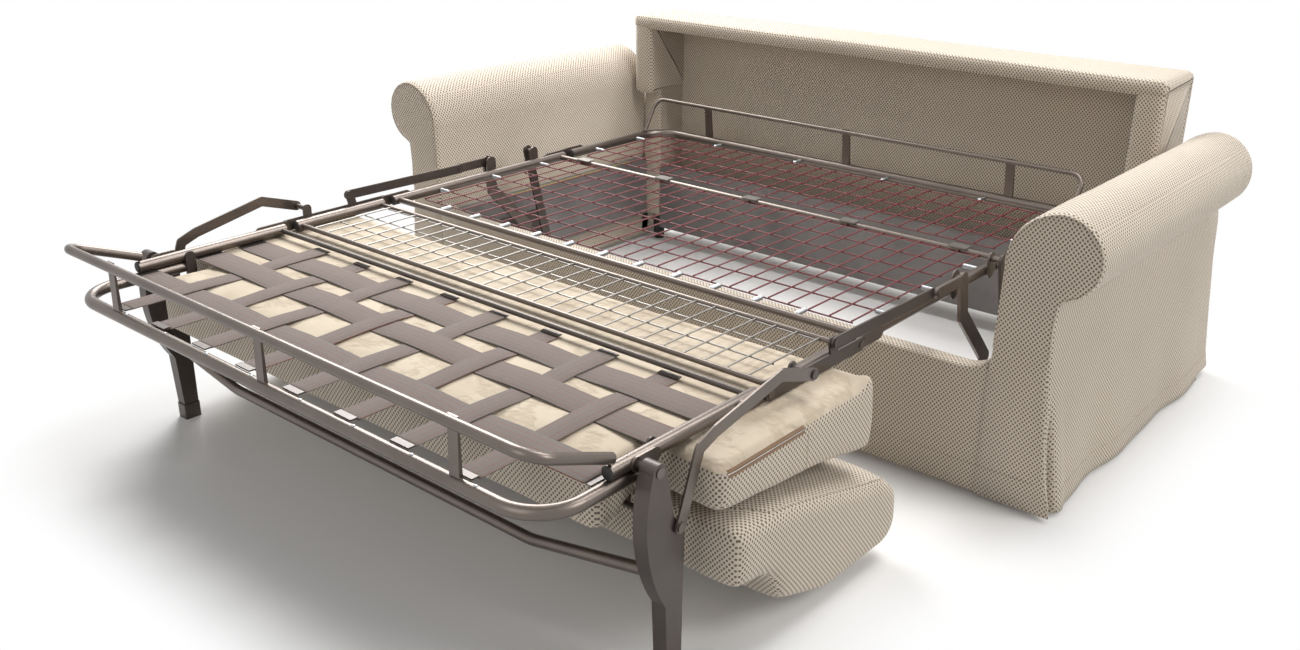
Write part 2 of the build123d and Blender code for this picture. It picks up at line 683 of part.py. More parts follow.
HEAD_ROD_HALF = RAIL_X - 5.0
HEAD_ROD_FOOT_Z = BED_Z + TUBE_R
with BuildPart() as head_rod:
    bent_tube(
        (
            (-HEAD_ROD_HALF, bed(HEAD_ROD_Y - 60.0), HEAD_ROD_FOOT_Z),
            (-HEAD_ROD_HALF, bed(HEAD_ROD_Y), HEAD_ROD_Z),
            (HEAD_ROD_HALF, bed(HEAD_ROD_Y), HEAD_ROD_Z),
            (HEAD_ROD_HALF, bed(HEAD_ROD_Y - 60.0), HEAD_ROD_FOOT_Z),
        ),
        35.0, HEAD_ROD_R,
    )
head_rod.part.label = "head_rod"
export_step(head_rod.part, "parts/head_rod.step")

BRACKET_WIDTH = 24.0
with BuildPart() as head_brackets:
    for index in (-1, 0, 1):
        with BuildSketch(Plane.YZ.offset(index * HEAD_BRACKET_PITCH - BRACKET_WIDTH / 2)):
            with BuildLine():
                Polyline(
                    (bed(HEAD_ROD_Y + HEAD_ROD_R), HEAD_ROD_Z + HEAD_ROD_R),
                    (bed(HEAD_ROD_Y + HEAD_ROD_R + PLATE), HEAD_ROD_Z + HEAD_ROD_R),
                    (bed(HEAD_END_Y + PLATE), BED_Z + TUBE_R),
                    (bed(HEAD_END_Y - PLATE), BED_Z + TUBE_R),
                    (bed(HEAD_ROD_Y + HEAD_ROD_R), HEAD_ROD_Z - HEAD_ROD_R),
                    close=True,
                )
            make_face()
        extrude(amount=BRACKET_WIDTH)
head_brackets.part.label = "head_brackets"
export_step(head_brackets.part, "parts/head_brackets.step")

# Spacer section
with BuildPart() as spacer_rails:
    straight_tube(FOOT_HINGE_Y + HINGE_GAP, MIDDLE_END_Y - HINGE_GAP, RAIL_X, BED_Z, TUBE_R, TUBE_WALL)
    mirror(about=Plane.YZ)
spacer_rails.part.label = "spacer_rails"
export_step(spacer_rails.part, "parts/spacer_rails.step")

with BuildPart() as spacer_plates:
    rear, front = HINGES["spacer"], HINGES["foot"]
    with BuildSketch(Plane.YZ.offset(LANE_TWO)):
        bar_outline((rear, front), 2 * HINGE_PLATE_R)
        bar_outline((DRIVE_PIN, (DRIVE_PIN[0] + 10.0, BED_Z)), LINK_WIDTH)
        bar_outline((LEG_LINK_REAR, (LEG_LINK_REAR[0], BED_Z)), LINK_WIDTH)
        pin_hole(rear, PIN_R)
        pin_hole(front, PIN_R)
    extrude(amount=PLATE)
    side_plate(
        ((rear[0] - 2 * PAD_START, BED_Z), (front[0] + 2 * PAD_START, BED_Z)),
        TUBE_R, LANE_ONE, PLATE + LANE_GAP,
    )
    for point, lane in ((DRIVE_PIN, LANE_THREE), (LEG_LINK_REAR, LEG_LINK_LANE)):
        head_x = lane + PLATE + HEAD_PLAY
        side_pin(point, PIN_R, LANE_TWO + PLATE, head_x - LANE_TWO - PLATE)
        side_pin(point, PIN_R + PIN_HEAD, head_x, PIN_HEAD)
    mirror(about=Plane.YZ)
spacer_plates.part.label = "spacer_plates"
export_step(spacer_plates.part, "parts/spacer_plates.step")

SPACER_ROD_R = 6.0
SPACER_ROD_REAR = MIDDLE_END_Y - HINGE_GAP - 2 * SPACER_ROD_R
SPACER_ROD_FRONT = FOOT_HINGE_Y + HINGE_GAP + 2 * SPACER_ROD_R
with BuildPart() as spacer_rods:
    cross_rod(SPACER_ROD_REAR, BED_Z, RAIL_INNER_X, SPACER_ROD_R)
    cross_rod(SPACER_ROD_FRONT, BED_Z, RAIL_INNER_X, SPACER_ROD_R)
spacer_rods.part.label = "spacer_rods"
export_step(spacer_rods.part, "parts/spacer_rods.step")

with BuildPart() as spacer_mesh:
    wire_mesh(SPACER_ROD_FRONT + SPACER_ROD_R, SPACER_ROD_REAR - SPACER_ROD_R, SPACER_CELLS)
spacer_mesh.part.label = "spacer_mesh"
export_step(spacer_mesh.part, "parts/spacer_mesh.step")

# Foot section
FOOT_RAIL_FRONT = FOOT_HINGE_Y - FOOT_RAIL_LENGTH
with BuildPart() as foot_rails:
    straight_tube(FOOT_RAIL_FRONT, FOOT_HINGE_Y - HINGE_GAP, RAIL_X, BED_Z, TUBE_R, TUBE_WALL)
    mirror(about=Plane.YZ)
foot_rails.part.label = "foot_rails"
export_step(foot_rails.part, "parts/foot_rails.step")

with BuildPart() as foot_tube:
    bent_tube(
        (
            (-RAIL_X, bed(FOOT_RAIL_FRONT + FOOT_TUBE_OVERLAP), FOOT_TUBE_Z),
            (-RAIL_X, bed(FOOT_END_Y), FOOT_TUBE_Z),
            (RAIL_X, bed(FOOT_END_Y), FOOT_TUBE_Z),
            (RAIL_X, bed(FOOT_RAIL_FRONT + FOOT_TUBE_OVERLAP), FOOT_TUBE_Z),
        ),
        FOOT_CORNER_R, TUBE_R, TUBE_WALL,
    )
foot_tube.part.label = "foot_tube"
export_step(foot_tube.part, "parts/foot_tube.step")

with BuildPart() as foot_plates:
    pivot = HINGES["foot"]
    side_plate((pivot, (pivot[0] - HINGE_PLATE_LENGTH, BED_Z)), 2 * HINGE_PLATE_R, LANE_ONE, PLATE)
    hinge_pin(pivot)
    side_plate((LEG_PIVOT, (LEG_PIVOT[0] + 40.0, BED_Z)), 2 * HINGE_PLATE_R, LANE_ONE, PLATE)
    leg_head_x = LEG_LANE + LEG_T + HEAD_PLAY
    side_pin(LEG_PIVOT, PIN_R, LANE_ONE + PLATE, leg_head_x - LANE_ONE - PLATE)
    side_pin(LEG_PIVOT, PIN_R + PIN_HEAD, leg_head_x, THIN_HEAD)
    mirror(about=Plane.YZ)
foot_plates.part.label = "foot_plates"
export_step(foot_plates.part, "parts/foot_plates.step")

FOOT_ROD_Y = FOOT_HINGE_Y - HINGE_GAP - 2 * SPACER_ROD_R
with BuildPart() as foot_hinge_rod:
    cross_rod(FOOT_ROD_Y, BED_Z, RAIL_INNER_X, SPACER_ROD_R)
foot_hinge_rod.part.label = "foot_hinge_rod"
export_step(foot_hinge_rod.part, "parts/foot_hinge_rod.step")

HOOP_X = RAIL_X
HOOP_RUN = HOOP_BACK_Y - HOOP_Y
HOOP_RISE = HOOP_Z - BED_Z - TUBE_R - HOOP_R
HOOP_FOOT_Z = BED_Z + TUBE_R + HOOP_R * cos(atan2(HOOP_RISE, HOOP_RUN)) + 0.1
with BuildPart() as foot_hoop:
    bent_tube(
        (
            (-HOOP_X, bed(HOOP_BACK_Y), HOOP_FOOT_Z),
            (-HOOP_X, bed(HOOP_Y), HOOP_Z),
            (HOOP_X, bed(HOOP_Y), HOOP_Z),
            (HOOP_X, bed(HOOP_BACK_Y), HOOP_FOOT_Z),
        ),
        40.0, HOOP_R,
    )
foot_hoop.part.label = "foot_hoop"
export_step(foot_hoop.part, "parts/foot_hoop.step")

with BuildPart() as hoop_brackets:
    for index in (-1, 0, 1):
        with BuildSketch(Plane.YZ.offset(index * HOOP_BRACKET_PITCH - BRACKET_WIDTH / 2)):
            with BuildLine():
                Polyline(
                    (bed(HOOP_Y + HOOP_R), HOOP_Z + 0.5 * HOOP_R),
                    (bed(HOOP_Y + HOOP_R + PLATE), HOOP_Z + 0.5 * HOOP_R),
                    (bed(FOOT_END_Y + PLATE), FOOT_TUBE_Z + TUBE_R),
                    (bed(FOOT_END_Y - PLATE), FOOT_TUBE_Z + TUBE_R),
                    (bed(HOOP_Y + HOOP_R), HOOP_Z - HOOP_R),
                    close=True,
                )
            make_face()
        extrude(amount=BRACKET_WIDTH)
hoop_brackets.part.label = "hoop_brackets"
export_step(hoop_brackets.part, "parts/hoop_brackets.step")

# Elastic belts: the cross belts lie under the long ones, on the cushion lining
CROSS_BELT_Z = SEAT_TOP_Z + 0.3
LONG_BELT_Z = CROSS_BELT_Z + BELT_T + 0.3
LONG_BELT_FRONT = FOOT_END_Y + TUBE_R + 8.0
LONG_BELT_REAR = FOOT_ROD_Y - SPACER_ROD_R - 8.0
with BuildPart() as long_belts:
    with BuildSketch(Plane.XY.offset(LONG_BELT_Z)):
        with Locations((0, bed((LONG_BELT_FRONT + LONG_BELT_REAR) / 2))):
            with GridLocations(LONG_BELT_PITCH, 1.0, LONG_BELTS, 1):
                Rectangle(LONG_BELT_WIDTH, LONG_BELT_REAR - LONG_BELT_FRONT)
    extrude(amount=BELT_T)
long_belts.part.label = "long_belts"
export_step(long_belts.part, "parts/long_belts.step")

CROSS_BELT_HALF = RAIL_INNER_X - 8.0
with BuildPart() as cross_belts:
    with BuildSketch(Plane.XY.offset(CROSS_BELT_Z)):
        with Locations(*[(0, bed(y)) for y in CROSS_BELT_STATIONS]):
            Rectangle(2 * CROSS_BELT_HALF, CROSS_BELT_WIDTH)
    extrude(amount=BELT_T)
cross_belts.part.label = "cross_belts"
export_step(cross_belts.part, "parts/cross_belts.step")

# Wire hooks that hang the belts on the tubes: a flat bar at each belt end
HOOK_T = 3.0
with BuildPart() as belt_hooks:
    for index in range(LONG_BELTS):
        x = (index - (LONG_BELTS - 1) / 2) * LONG_BELT_PITCH
        for start_y, end_y in (
            (FOOT_END_Y + TUBE_R * 0.5, LONG_BELT_FRONT),
            (LONG_BELT_REAR, FOOT_ROD_Y),
        ):
            with BuildSketch(Plane.XY.offset(LONG_BELT_Z)):
                with Locations((x, bed((start_y + end_y) / 2))):
                    Rectangle(0.9 * LONG_BELT_WIDTH, end_y - start_y)
            extrude(amount=HOOK_T)
    for y in CROSS_BELT_STATIONS:
        over_tube = y < FOOT_RAIL_FRONT + FOOT_TUBE_OVERLAP
        hook_end = RAIL_X - 0.7 * TUBE_R if over_tube else RAIL_X - 2.0
        for sign in (1, -1):
            with BuildSketch(Plane.XY.offset(CROSS_BELT_Z)):
                with Locations((sign * (CROSS_BELT_HALF + hook_end) / 2, bed(y))):
                    Rectangle(hook_end - CROSS_BELT_HALF, 0.9 * CROSS_BELT_WIDTH)
            extrude(amount=HOOK_T)
    with Locations(Location((0, bed(FOOT_ROD_Y), BED_Z), (0, 90, 0))):
        Cylinder(SPACER_ROD_R, 2 * RAIL_INNER_X, mode=Mode.SUBTRACT)
belt_hooks.part.label = "belt_hooks"
export_step(belt_hooks.part, "parts/belt_hooks.step")

# Seat cushion under the belts, thick at the end that becomes the seat's front edge
SEAT_OUTLINE = (
    (CUSHION_FRONT_Y, SEAT_TOP_Z),
    (SEAT_END_Y, SEAT_TOP_Z),
    (SEAT_END_Y + 10.0, 315.0),
    (SEAT_END_Y, 240.0),
    (-900.0, 275.0),
    (CUSHION_FRONT_Y, 305.0),
)
# Nose of the seat cushion between the legs, raised behind its front to clear the back cushion's hinge
NOSE_TOP_Z = SEAT_TOP_Z - 0.5
NOSE_OUTLINE = (
    (NOSE_FRONT_Y, NOSE_TOP_Z),
    (CUSHION_FRONT_Y + 45.0, NOSE_TOP_Z),
    (CUSHION_FRONT_Y + 45.0, 310.0),
    (BACK_HINGE[0] - NOSE_CLEARANCE, 306.0),
    (BACK_HINGE[0] - NOSE_CLEARANCE - 14.0, NOSE_LOW_Z),
    (NOSE_FRONT_Y, NOSE_LOW_Z),
)
with BuildPart() as seat_cushion:
    padded_block(SEAT_OUTLINE, SEAT_HALF_WIDTH, 18.0, 22.0)
    padded_block(NOSE_OUTLINE, NOSE_HALF_WIDTH, 10.0, 12.0)
seat_cushion.part.label = "seat_cushion"
export_step(seat_cushion.part, "parts/seat_cushion.step")

# Back cushion folded below the seat, with its thick top end towards the sofa
BACK_OUTLINE = (
    (CUSHION_FRONT_Y + 5.0, 292.0),
    (-1000.0, 270.0),
    (BACK_PAD_END_Y - 60.0, 190.0),
    (BACK_PAD_END_Y - 6.0, 150.0),
    (BACK_PAD_END_Y, BACK_PAD_LOW_Z + 40.0),
    (BACK_PAD_END_Y - 40.0, BACK_PAD_LOW_Z),
    (-890.0, BACK_PAD_LOW_Z),
    (-1045.0, 76.0),
    (-1078.0, 150.0),
    (CUSHION_FRONT_Y + 5.0, 165.0),
)
with BuildPart() as back_cushion:
    padded_block(BACK_OUTLINE, BACK_HALF_WIDTH, 12.0, 22.0)
back_cushion.part.label = "back_cushion"
export_step(back_cushion.part, "parts/back_cushion.step")

# Hinge of the back cushion: hangers on the foot section and a rod with lugs on the cushion
HANGER_X = RAIL_INNER_X - PLATE
with BuildPart() as cushion_hangers:
    side_plate(
        ((BACK_HINGE[0], BED_Z), BACK_HINGE), LINK_WIDTH, HANGER_X, PLATE, ((BACK_HINGE, BACK_HINGE_R),),
    )
    mirror(about=Plane.YZ)
cushion_hangers.part.label = "cushion_hangers"
export_step(cushion_hangers.part, "parts/cushion_hangers.step")

LUG_WIDTH = 60.0
LUGS = 5
LUG_PITCH = 300.0
with BuildPart() as cushion_hinge:
    cross_rod(BACK_HINGE[0], BACK_HINGE[1], HANGER_X + PLATE, BACK_HINGE_R)
    lug_reach = CUSHION_FRONT_Y + 5.0 - BACK_HINGE[0]
    for index in range(LUGS):
        x = (index - (LUGS - 1) / 2) * LUG_PITCH
        with BuildSketch(Plane.YZ.offset(x - LUG_WIDTH / 2)):
            with Locations(spot((BACK_HINGE[0] + lug_reach / 2, BACK_HINGE[1] - 1.5 * BACK_HINGE_R))):
                Rectangle(lug_reach, 3 * BACK_HINGE_R)
            with Locations(spot(BACK_HINGE)):
                Circle(1.5 * BACK_HINGE_R)
        extrude(amount=LUG_WIDTH)
cushion_hinge.part.label = "cushion_hinge"
export_step(cushion_hinge.part, "parts/cushion_hinge.step")

# Front legs: a waisted upper plate that narrows to a straight shank
SHANK_TOP = (LEG_PIVOT_Y + 40.0, LEG_KNEE_Z)
with BuildPart() as legs:
    with BuildSketch(Plane.YZ.offset(LEG_LANE)):
        with BuildLine():
            leg_top = spot((LEG_PIVOT_Y - 16.0, BED_Z))
            leg_bulge = spot((LEG_PIVOT_Y - 30.0, BED_Z - 110.0))
            shank_front = spot((SHANK_TOP[0] - LEG_FOOT_WIDTH / 2 - 6.0, LEG_KNEE_Z))
            foot_front = spot((SHANK_TOP[0] - LEG_FOOT_WIDTH / 2, LEG_CAP_H))
            foot_rear = spot((SHANK_TOP[0] + LEG_FOOT_WIDTH / 2, LEG_CAP_H))
            knee_rear = spot((SHANK_TOP[0] + LEG_FOOT_WIDTH / 2 + 2.0, LEG_KNEE_Z + 20.0))
            link_rear = spot((LEG_LINK_LOW[0] + 18.0, LEG_LINK_LOW[1] - 10.0))
            link_top = spot((LEG_LINK_LOW[0] - 10.0, LEG_LINK_LOW[1] + 22.0))
            pivot_rear = spot((LEG_PIVOT_Y + 16.0, BED_Z))
            ThreePointArc(leg_top, leg_bulge, shank_front)
            Polyline(shank_front, foot_front, foot_rear, knee_rear, link_rear, link_top, pivot_rear)
            ThreePointArc(pivot_rear, spot((LEG_PIVOT_Y, BED_Z + 16.0)), leg_top)
        make_face()
        pin_hole(LEG_PIVOT, PIN_R)
    extrude(amount=LEG_T)
    mirror(about=Plane.YZ)
legs.part.label = "legs"
export_step(legs.part, "parts/legs.step")

with BuildPart() as leg_caps:
    with BuildSketch(Plane.XY):
        with Locations((LEG_LANE + LEG_T / 2, bed(SHANK_TOP[0]))):
            RectangleRounded(LEG_T + 2 * CAP_WALL, LEG_FOOT_WIDTH + 2 * CAP_WALL, 4.0)
    extrude(amount=LEG_CAP_H)
    mirror(about=Plane.YZ)
leg_caps.part.label = "leg_caps"
export_step(leg_caps.part, "parts/leg_caps.step")

with BuildPart() as stretcher:
    bent_tube(
        (
            (-LEG_LANE, bed(STRETCHER_END[0]), STRETCHER_END[1]),
            (-STRETCHER_HALF, bed(STRETCHER_Y), STRETCHER_Z),
            (STRETCHER_HALF, bed(STRETCHER_Y), STRETCHER_Z),
            (LEG_LANE, bed(STRETCHER_END[0]), STRETCHER_END[1]),
        ),
        STRETCHER_BEND_R, STRETCHER_R,
    )
    with BuildSketch(Plane.YZ.offset(LEG_LANE)):
        with Locations(spot(STRETCHER_END)):
            Circle(2 * STRETCHER_R)
    cut_ends = extrude(amount=2 * STRETCHER_R, mode=Mode.SUBTRACT)
    mirror(cut_ends, about=Plane.YZ, mode=Mode.SUBTRACT)
stretcher.part.label = "stretcher"
export_step(stretcher.part, "parts/stretcher.step")

# Leg links: curved bars from the spacer's horn to the legs
LEG_LINK_BENDS = (
    LEG_LINK_REAR,
    (FOOT_HINGE_Y - 32.0, BED_Z + 61.0),
    (LEG_PIVOT_Y + 131.0, BED_Z + 24.0),
    (LEG_PIVOT_Y + 91.0, BED_Z + 9.0),
    LEG_LINK_LOW,
)
with BuildPart() as leg_links:
    with BuildSketch(Plane.YZ.offset(LEG_LINK_LANE)):
        bar_outline(LEG_LINK_BENDS, LINK_WIDTH)
        pin_hole(LEG_LINK_REAR, PIN_R)
    extrude(amount=PLATE)
    side_pin(LEG_LINK_LOW, PIN_R + PIN_HEAD, LEG_LINK_LANE + PLATE, PIN_HEAD)
    mirror(about=Plane.YZ)
leg_links.part.label = "leg_links"
export_step(leg_links.part, "parts/leg_links.step")

# Drive bars: from the swing arms' horns to the spacer's horns
with BuildPart() as drive_bars:
    side_plate((DRIVE_PIN, HORN_END), LINK_WIDTH, LANE_THREE, PLATE, ((DRIVE_PIN, PIN_R),))
    side_pin(HORN_END, PIN_R, LANE_THREE - PIN_HEAD, PIN_HEAD)
    mirror(about=Plane.YZ)
drive_bars.part.label = "drive_bars"
export_step(drive_bars.part, "parts/drive_bars.step")
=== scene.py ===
"""Looks of the opened sofa bed: upholstery, steel frame, belts and studio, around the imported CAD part.

All lengths are metres in the part's frame: +X to the right of the picture, -Y to the front, +Z up.
Stations along the bed are measured from the crossbar, as on the drawing, and moved by bed().
"""
import cmath
import json
import logging
import math
from dataclasses import dataclass
from enum import Enum
from typing import Any, Callable, Dict, List, Optional, Sequence, Tuple, Union

import bmesh
import bpy
from mathutils import Matrix, Vector, noise
from mathutils.bvhtree import BVHTree

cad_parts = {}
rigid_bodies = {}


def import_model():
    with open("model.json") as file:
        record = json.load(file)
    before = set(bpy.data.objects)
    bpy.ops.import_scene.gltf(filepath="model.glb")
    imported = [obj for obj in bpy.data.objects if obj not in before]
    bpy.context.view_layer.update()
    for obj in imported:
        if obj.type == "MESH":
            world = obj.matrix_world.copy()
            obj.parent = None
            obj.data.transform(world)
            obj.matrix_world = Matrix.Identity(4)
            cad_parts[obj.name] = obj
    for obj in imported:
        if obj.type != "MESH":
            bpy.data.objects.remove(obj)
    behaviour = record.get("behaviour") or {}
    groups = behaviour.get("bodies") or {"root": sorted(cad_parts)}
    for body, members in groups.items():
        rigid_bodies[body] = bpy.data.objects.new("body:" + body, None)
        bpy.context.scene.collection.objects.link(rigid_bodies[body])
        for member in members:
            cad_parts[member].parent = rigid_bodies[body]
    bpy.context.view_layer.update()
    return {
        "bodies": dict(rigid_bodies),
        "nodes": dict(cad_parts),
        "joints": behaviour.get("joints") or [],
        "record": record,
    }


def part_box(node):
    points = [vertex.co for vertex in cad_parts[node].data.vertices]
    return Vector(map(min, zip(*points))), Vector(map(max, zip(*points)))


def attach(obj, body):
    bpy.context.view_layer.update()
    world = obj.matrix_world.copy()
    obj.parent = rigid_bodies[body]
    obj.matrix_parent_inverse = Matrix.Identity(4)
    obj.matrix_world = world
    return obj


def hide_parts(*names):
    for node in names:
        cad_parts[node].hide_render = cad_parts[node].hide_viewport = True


LOG = logging.getLogger("sofa_bed")

Point = Tuple[float, float, float]
Flat = Tuple[float, float]
Colour = Tuple[float, float, float]
Value = Union["Wire", float, int, Sequence[float], str]

CROSSBAR_Y = 0.404
SHOWN_RAYS = ("Is Camera Ray", "Is Glossy Ray", "Is Transmission Ray")
WELT_RADIUS = 0.0021
STITCH_SPACING = 0.008
SEAM_SPACING = 0.007
STITCH_THICKNESS = 0.0011
STITCH_LIFT = 0.0003
EDGE_SHARE = 0.3
CROSSING_HALF = 0.03
MERGE_DISTANCE = 1e-5
RING_CORNERS = 8
STRAP_PROFILE: Tuple[Flat, ...] = (
    (-1.0, -0.6),
    (-0.97, -1.0),
    (0.97, -1.0),
    (1.0, -0.6),
    (1.0, 0.6),
    (0.97, 1.0),
    (-0.97, 1.0),
    (-1.0, 0.6),
)


def bed(station: float) -> float:
    """Y in the part's frame of a station measured from the crossbar."""
    return station + CROSSBAR_Y


def smooth_step(value: float, low: float, high: float) -> float:
    """Ease from 0 at low to 1 at high."""
    share = min(max((value - low) / (high - low), 0.0), 1.0)
    return share * share * (3.0 - 2.0 * share)


def spaced(low: float, high: float, count: int) -> List[float]:
    """Even places from low to high, both included."""
    return [low + (high - low) * index / (count - 1) for index in range(count)]


def centred(count: int, pitch: float) -> List[float]:
    """Places a pitch apart, with their middle at zero."""
    return [(index - (count - 1) / 2) * pitch for index in range(count)]


class Side(Enum):
    """The two sides of the sofa bed, as the sign of X."""

    RIGHT = 1
    LEFT = -1

    @property
    def label(self) -> str:
        """The side's name in piece names."""
        return self.name.lower()


class Wire:
    """One socket of a shader tree, with operators that add Math nodes."""

    def __init__(self, sheet: "ShaderSheet", socket: bpy.types.NodeSocket) -> None:
        """Keep the socket and the sheet it belongs to."""
        self.sheet = sheet
        self.socket = socket

    def _math(self, operation: str, first: Value, second: Value = 0.0) -> "Wire":
        """Add one Math node.

        Args:
            operation: Blender's name of the operation.
            first: First value or wire.
            second: Second value or wire.

        Returns:
            The node's result.
        """
        return self.sheet.node("ShaderNodeMath", {"operation": operation}, {0: first, 1: second})

    def __add__(self, other: Value) -> "Wire":
        """Sum."""
        return self._math("ADD", self, other)

    __radd__ = __add__

    def __sub__(self, other: Value) -> "Wire":
        """Difference."""
        return self._math("SUBTRACT", self, other)

    def __rsub__(self, other: Value) -> "Wire":
        """Reflected difference."""
        return self._math("SUBTRACT", other, self)

    def __mul__(self, other: Value) -> "Wire":
        """Product."""
        return self._math("MULTIPLY", self, other)

    __rmul__ = __mul__

    def __gt__(self, other: Value) -> "Wire":
        """1 where this is greater."""
        return self._math("GREATER_THAN", self, other)

    def __lt__(self, other: Value) -> "Wire":
        """1 where this is less."""
        return self._math("LESS_THAN", self, other)

    def __abs__(self) -> "Wire":
        """Size without sign."""
        return self._math("ABSOLUTE", self)

    def sine(self) -> "Wire":
        """Sine of an angle in radians."""
        return self._math("SINE", self)

    def greatest(self, other: Value) -> "Wire":
        """The greater of two."""
        return self._math("MAXIMUM", self, other)

    def ease(self, low: float, high: float) -> "Wire":
        """Smooth rise from 0 to 1.

        Args:
            low: Value where the rise starts.
            high: Value where it ends.

        Returns:
            The eased wire.
        """
        return self.sheet.node(
            "ShaderNodeMapRange",
            {"interpolation_type": "SMOOTHSTEP"},
            {"Value": self, "From Min": low, "From Max": high},
        )


class ShaderSheet:
    """A material's node tree, with one method that makes every node."""

    def __init__(self, name: str) -> None:
        """Start an empty material.

        Args:
            name: Name of the material.
        """
        self.material = bpy.data.materials.new(name)
        self.material.use_nodes = True
        self.tree = self.material.node_tree
        self.tree.nodes.clear()

    def node(
        self,
        kind: str,
        settings: Optional[Dict[str, Any]] = None,
        inputs: Optional[Dict[Union[str, int], Value]] = None,
        output: Union[str, int] = 0,
    ) -> Wire:
        """Add a node.

        Args:
            kind: Blender's node type.
            settings: Properties that are set first.
            inputs: Values or wires by socket name or number.
            output: The output to return.

        Returns:
            The chosen output.
        """
        made = self.tree.nodes.new(kind)
        for key, value in (settings or {}).items():
            setattr(made, key, value)
        for key, value in (inputs or {}).items():
            socket = made.inputs[key]
            if isinstance(value, Wire):
                self.tree.links.new(value.socket, socket)
            elif isinstance(value, (tuple, list)) and socket.type == "RGBA" and len(value) == 3:
                socket.default_value = (*value, 1.0)
            else:
                socket.default_value = value
        return Wire(self, made.outputs[output] if made.outputs else made.inputs[0])

    def mix(self, share: Value, first: Value, second: Value) -> Wire:
        """Mix two colours.

        Args:
            share: How much of the second colour.
            first: First colour.
            second: Second colour.

        Returns:
            The mixed colour.
        """
        return self.node(
            "ShaderNodeMix", {"data_type": "RGBA"}, {0: share, 6: first, 7: second}, output=2
        )

    def place(self) -> Tuple[Wire, Wire, Wire]:
        """X, Y and Z in the object's own coordinates."""
        return self._split("Object")

    def facing(self) -> Tuple[Wire, Wire, Wire]:
        """The surface normal's X, Y and Z in the object's own coordinates."""
        return self._split("Normal")

    def _split(self, source: str) -> Tuple[Wire, Wire, Wire]:
        """Separate one of the coordinate outputs.

        Args:
            source: Name of the output.

        Returns:
            Its X, Y and Z.
        """
        whole = self.node("ShaderNodeTexCoord", output=source)
        first = self.node("ShaderNodeSeparateXYZ", None, {0: whole})
        outputs = first.socket.node.outputs
        return Wire(self, outputs[0]), Wire(self, outputs[1]), Wire(self, outputs[2])

    def speckle(self, scale: float, detail: float = 2.0, rough: float = 0.5) -> Wire:
        """Noise over the object's coordinates.

        Args:
            scale: Fineness of the noise.
            detail: Number of finer layers.
            rough: Weight of the finer layers.

        Returns:
            The noise, from 0 to 1.
        """
        whole = self.node("ShaderNodeTexCoord", output="Object")
        return self.node(
            "ShaderNodeTexNoise",
            None,
            {"Vector": whole, "Scale": scale, "Detail": detail, "Roughness": rough},
        )

    def shown(self) -> Wire:
        """1 for what the camera sees directly, in reflections and through glass."""
        direct, mirrored, through = (self.node("ShaderNodeLightPath", output=name) for name in SHOWN_RAYS)
        return direct.greatest(mirrored).greatest(through)

    def bump(self, height: Wire, distance: float, strength: float) -> Wire:
        """Bump from a height.

        Args:
            height: The height.
            distance: Depth that a height of 1 stands for.
            strength: Share of the effect.

        Returns:
            The bumped normal.
        """
        return self.node(
            "ShaderNodeBump", None, {"Height": height, "Distance": distance, "Strength": strength}
        )

    def finish(self, **sockets: Value) -> bpy.types.Material:
        """Close the tree with a Principled shader.

        Args:
            **sockets: Values by socket name, with underscores for spaces.

        Returns:
            The finished material.
        """
        inputs = {key.replace("_", " "): value for key, value in sockets.items()}
        shader = self.node("ShaderNodeBsdfPrincipled", None, inputs)
        self.node("ShaderNodeOutputMaterial", None, {"Surface": shader})
        return self.material


class WorldSheet(ShaderSheet):
    """The world's node tree, made in the same way."""

    def __init__(self, name: str) -> None:
        """Start an empty world.

        Args:
            name: Name of the world.
        """
        self.world = bpy.data.worlds.new(name)
        self.world.use_nodes = True
        self.tree = self.world.node_tree
        self.tree.nodes.clear()


def shaded(colour: Colour, share: float) -> Colour:
    """A colour made darker or lighter by a share."""
    return tuple(share * part for part in colour)


@dataclass(frozen=True)
class WovenCloth:
    """Coarse basket weave with dark flecks between pale threads."""

    name: str
    thread: Colour
    fleck: Colour
    pitch: float = 0.0095
    rise: float = 0.0112
    flecks: float = 0.95

    def weave(self, sheet: ShaderSheet) -> Tuple[Wire, Wire]:
        """Colour and height of the weave, laid flat on the nearest face direction.

        Args:
            sheet: The material's sheet.

        Returns:
            Colour and height.
        """
        x, y, z = sheet.place()
        nx, ny, nz = (abs(part) for part in sheet.facing())
        to_side = nx > ny.greatest(nz)
        to_top = nz > nx.greatest(ny)
        across = x + (y - x) * to_side
        upward = z + (y - z) * to_top
        turn = 2.0 * math.pi / self.pitch
        climb = 2.0 * math.pi / self.rise
        dots = (across * turn).sine() * (upward * climb).sine()
        gap = dots.ease(0.02, 0.5)
        ribs = abs((upward * (2.0 * climb)).sine())
        worn = sheet.speckle(2.2, 3.0)
        fibre = sheet.speckle(420.0, 2.0)
        pale = sheet.mix(worn.ease(0.3, 0.7), self.thread, shaded(self.thread, 0.93))
        pale = sheet.mix(fibre.ease(0.35, 0.8) * 0.35, pale, shaded(self.thread, 0.72))
        colour = sheet.mix(gap * self.flecks, pale, self.fleck)
        height = (1.0 - gap) * 0.8 + ribs * 0.15 + fibre * 0.2
        return colour, height

    def make(self) -> bpy.types.Material:
        """The finished cloth."""
        sheet = ShaderSheet(self.name)
        colour, height = self.weave(sheet)
        return sheet.finish(
            Base_Color=colour,
            Roughness=0.92,
            Sheen_Weight=0.18,
            Sheen_Roughness=0.5,
            Normal=sheet.bump(height, 0.0011, 0.8),
        )


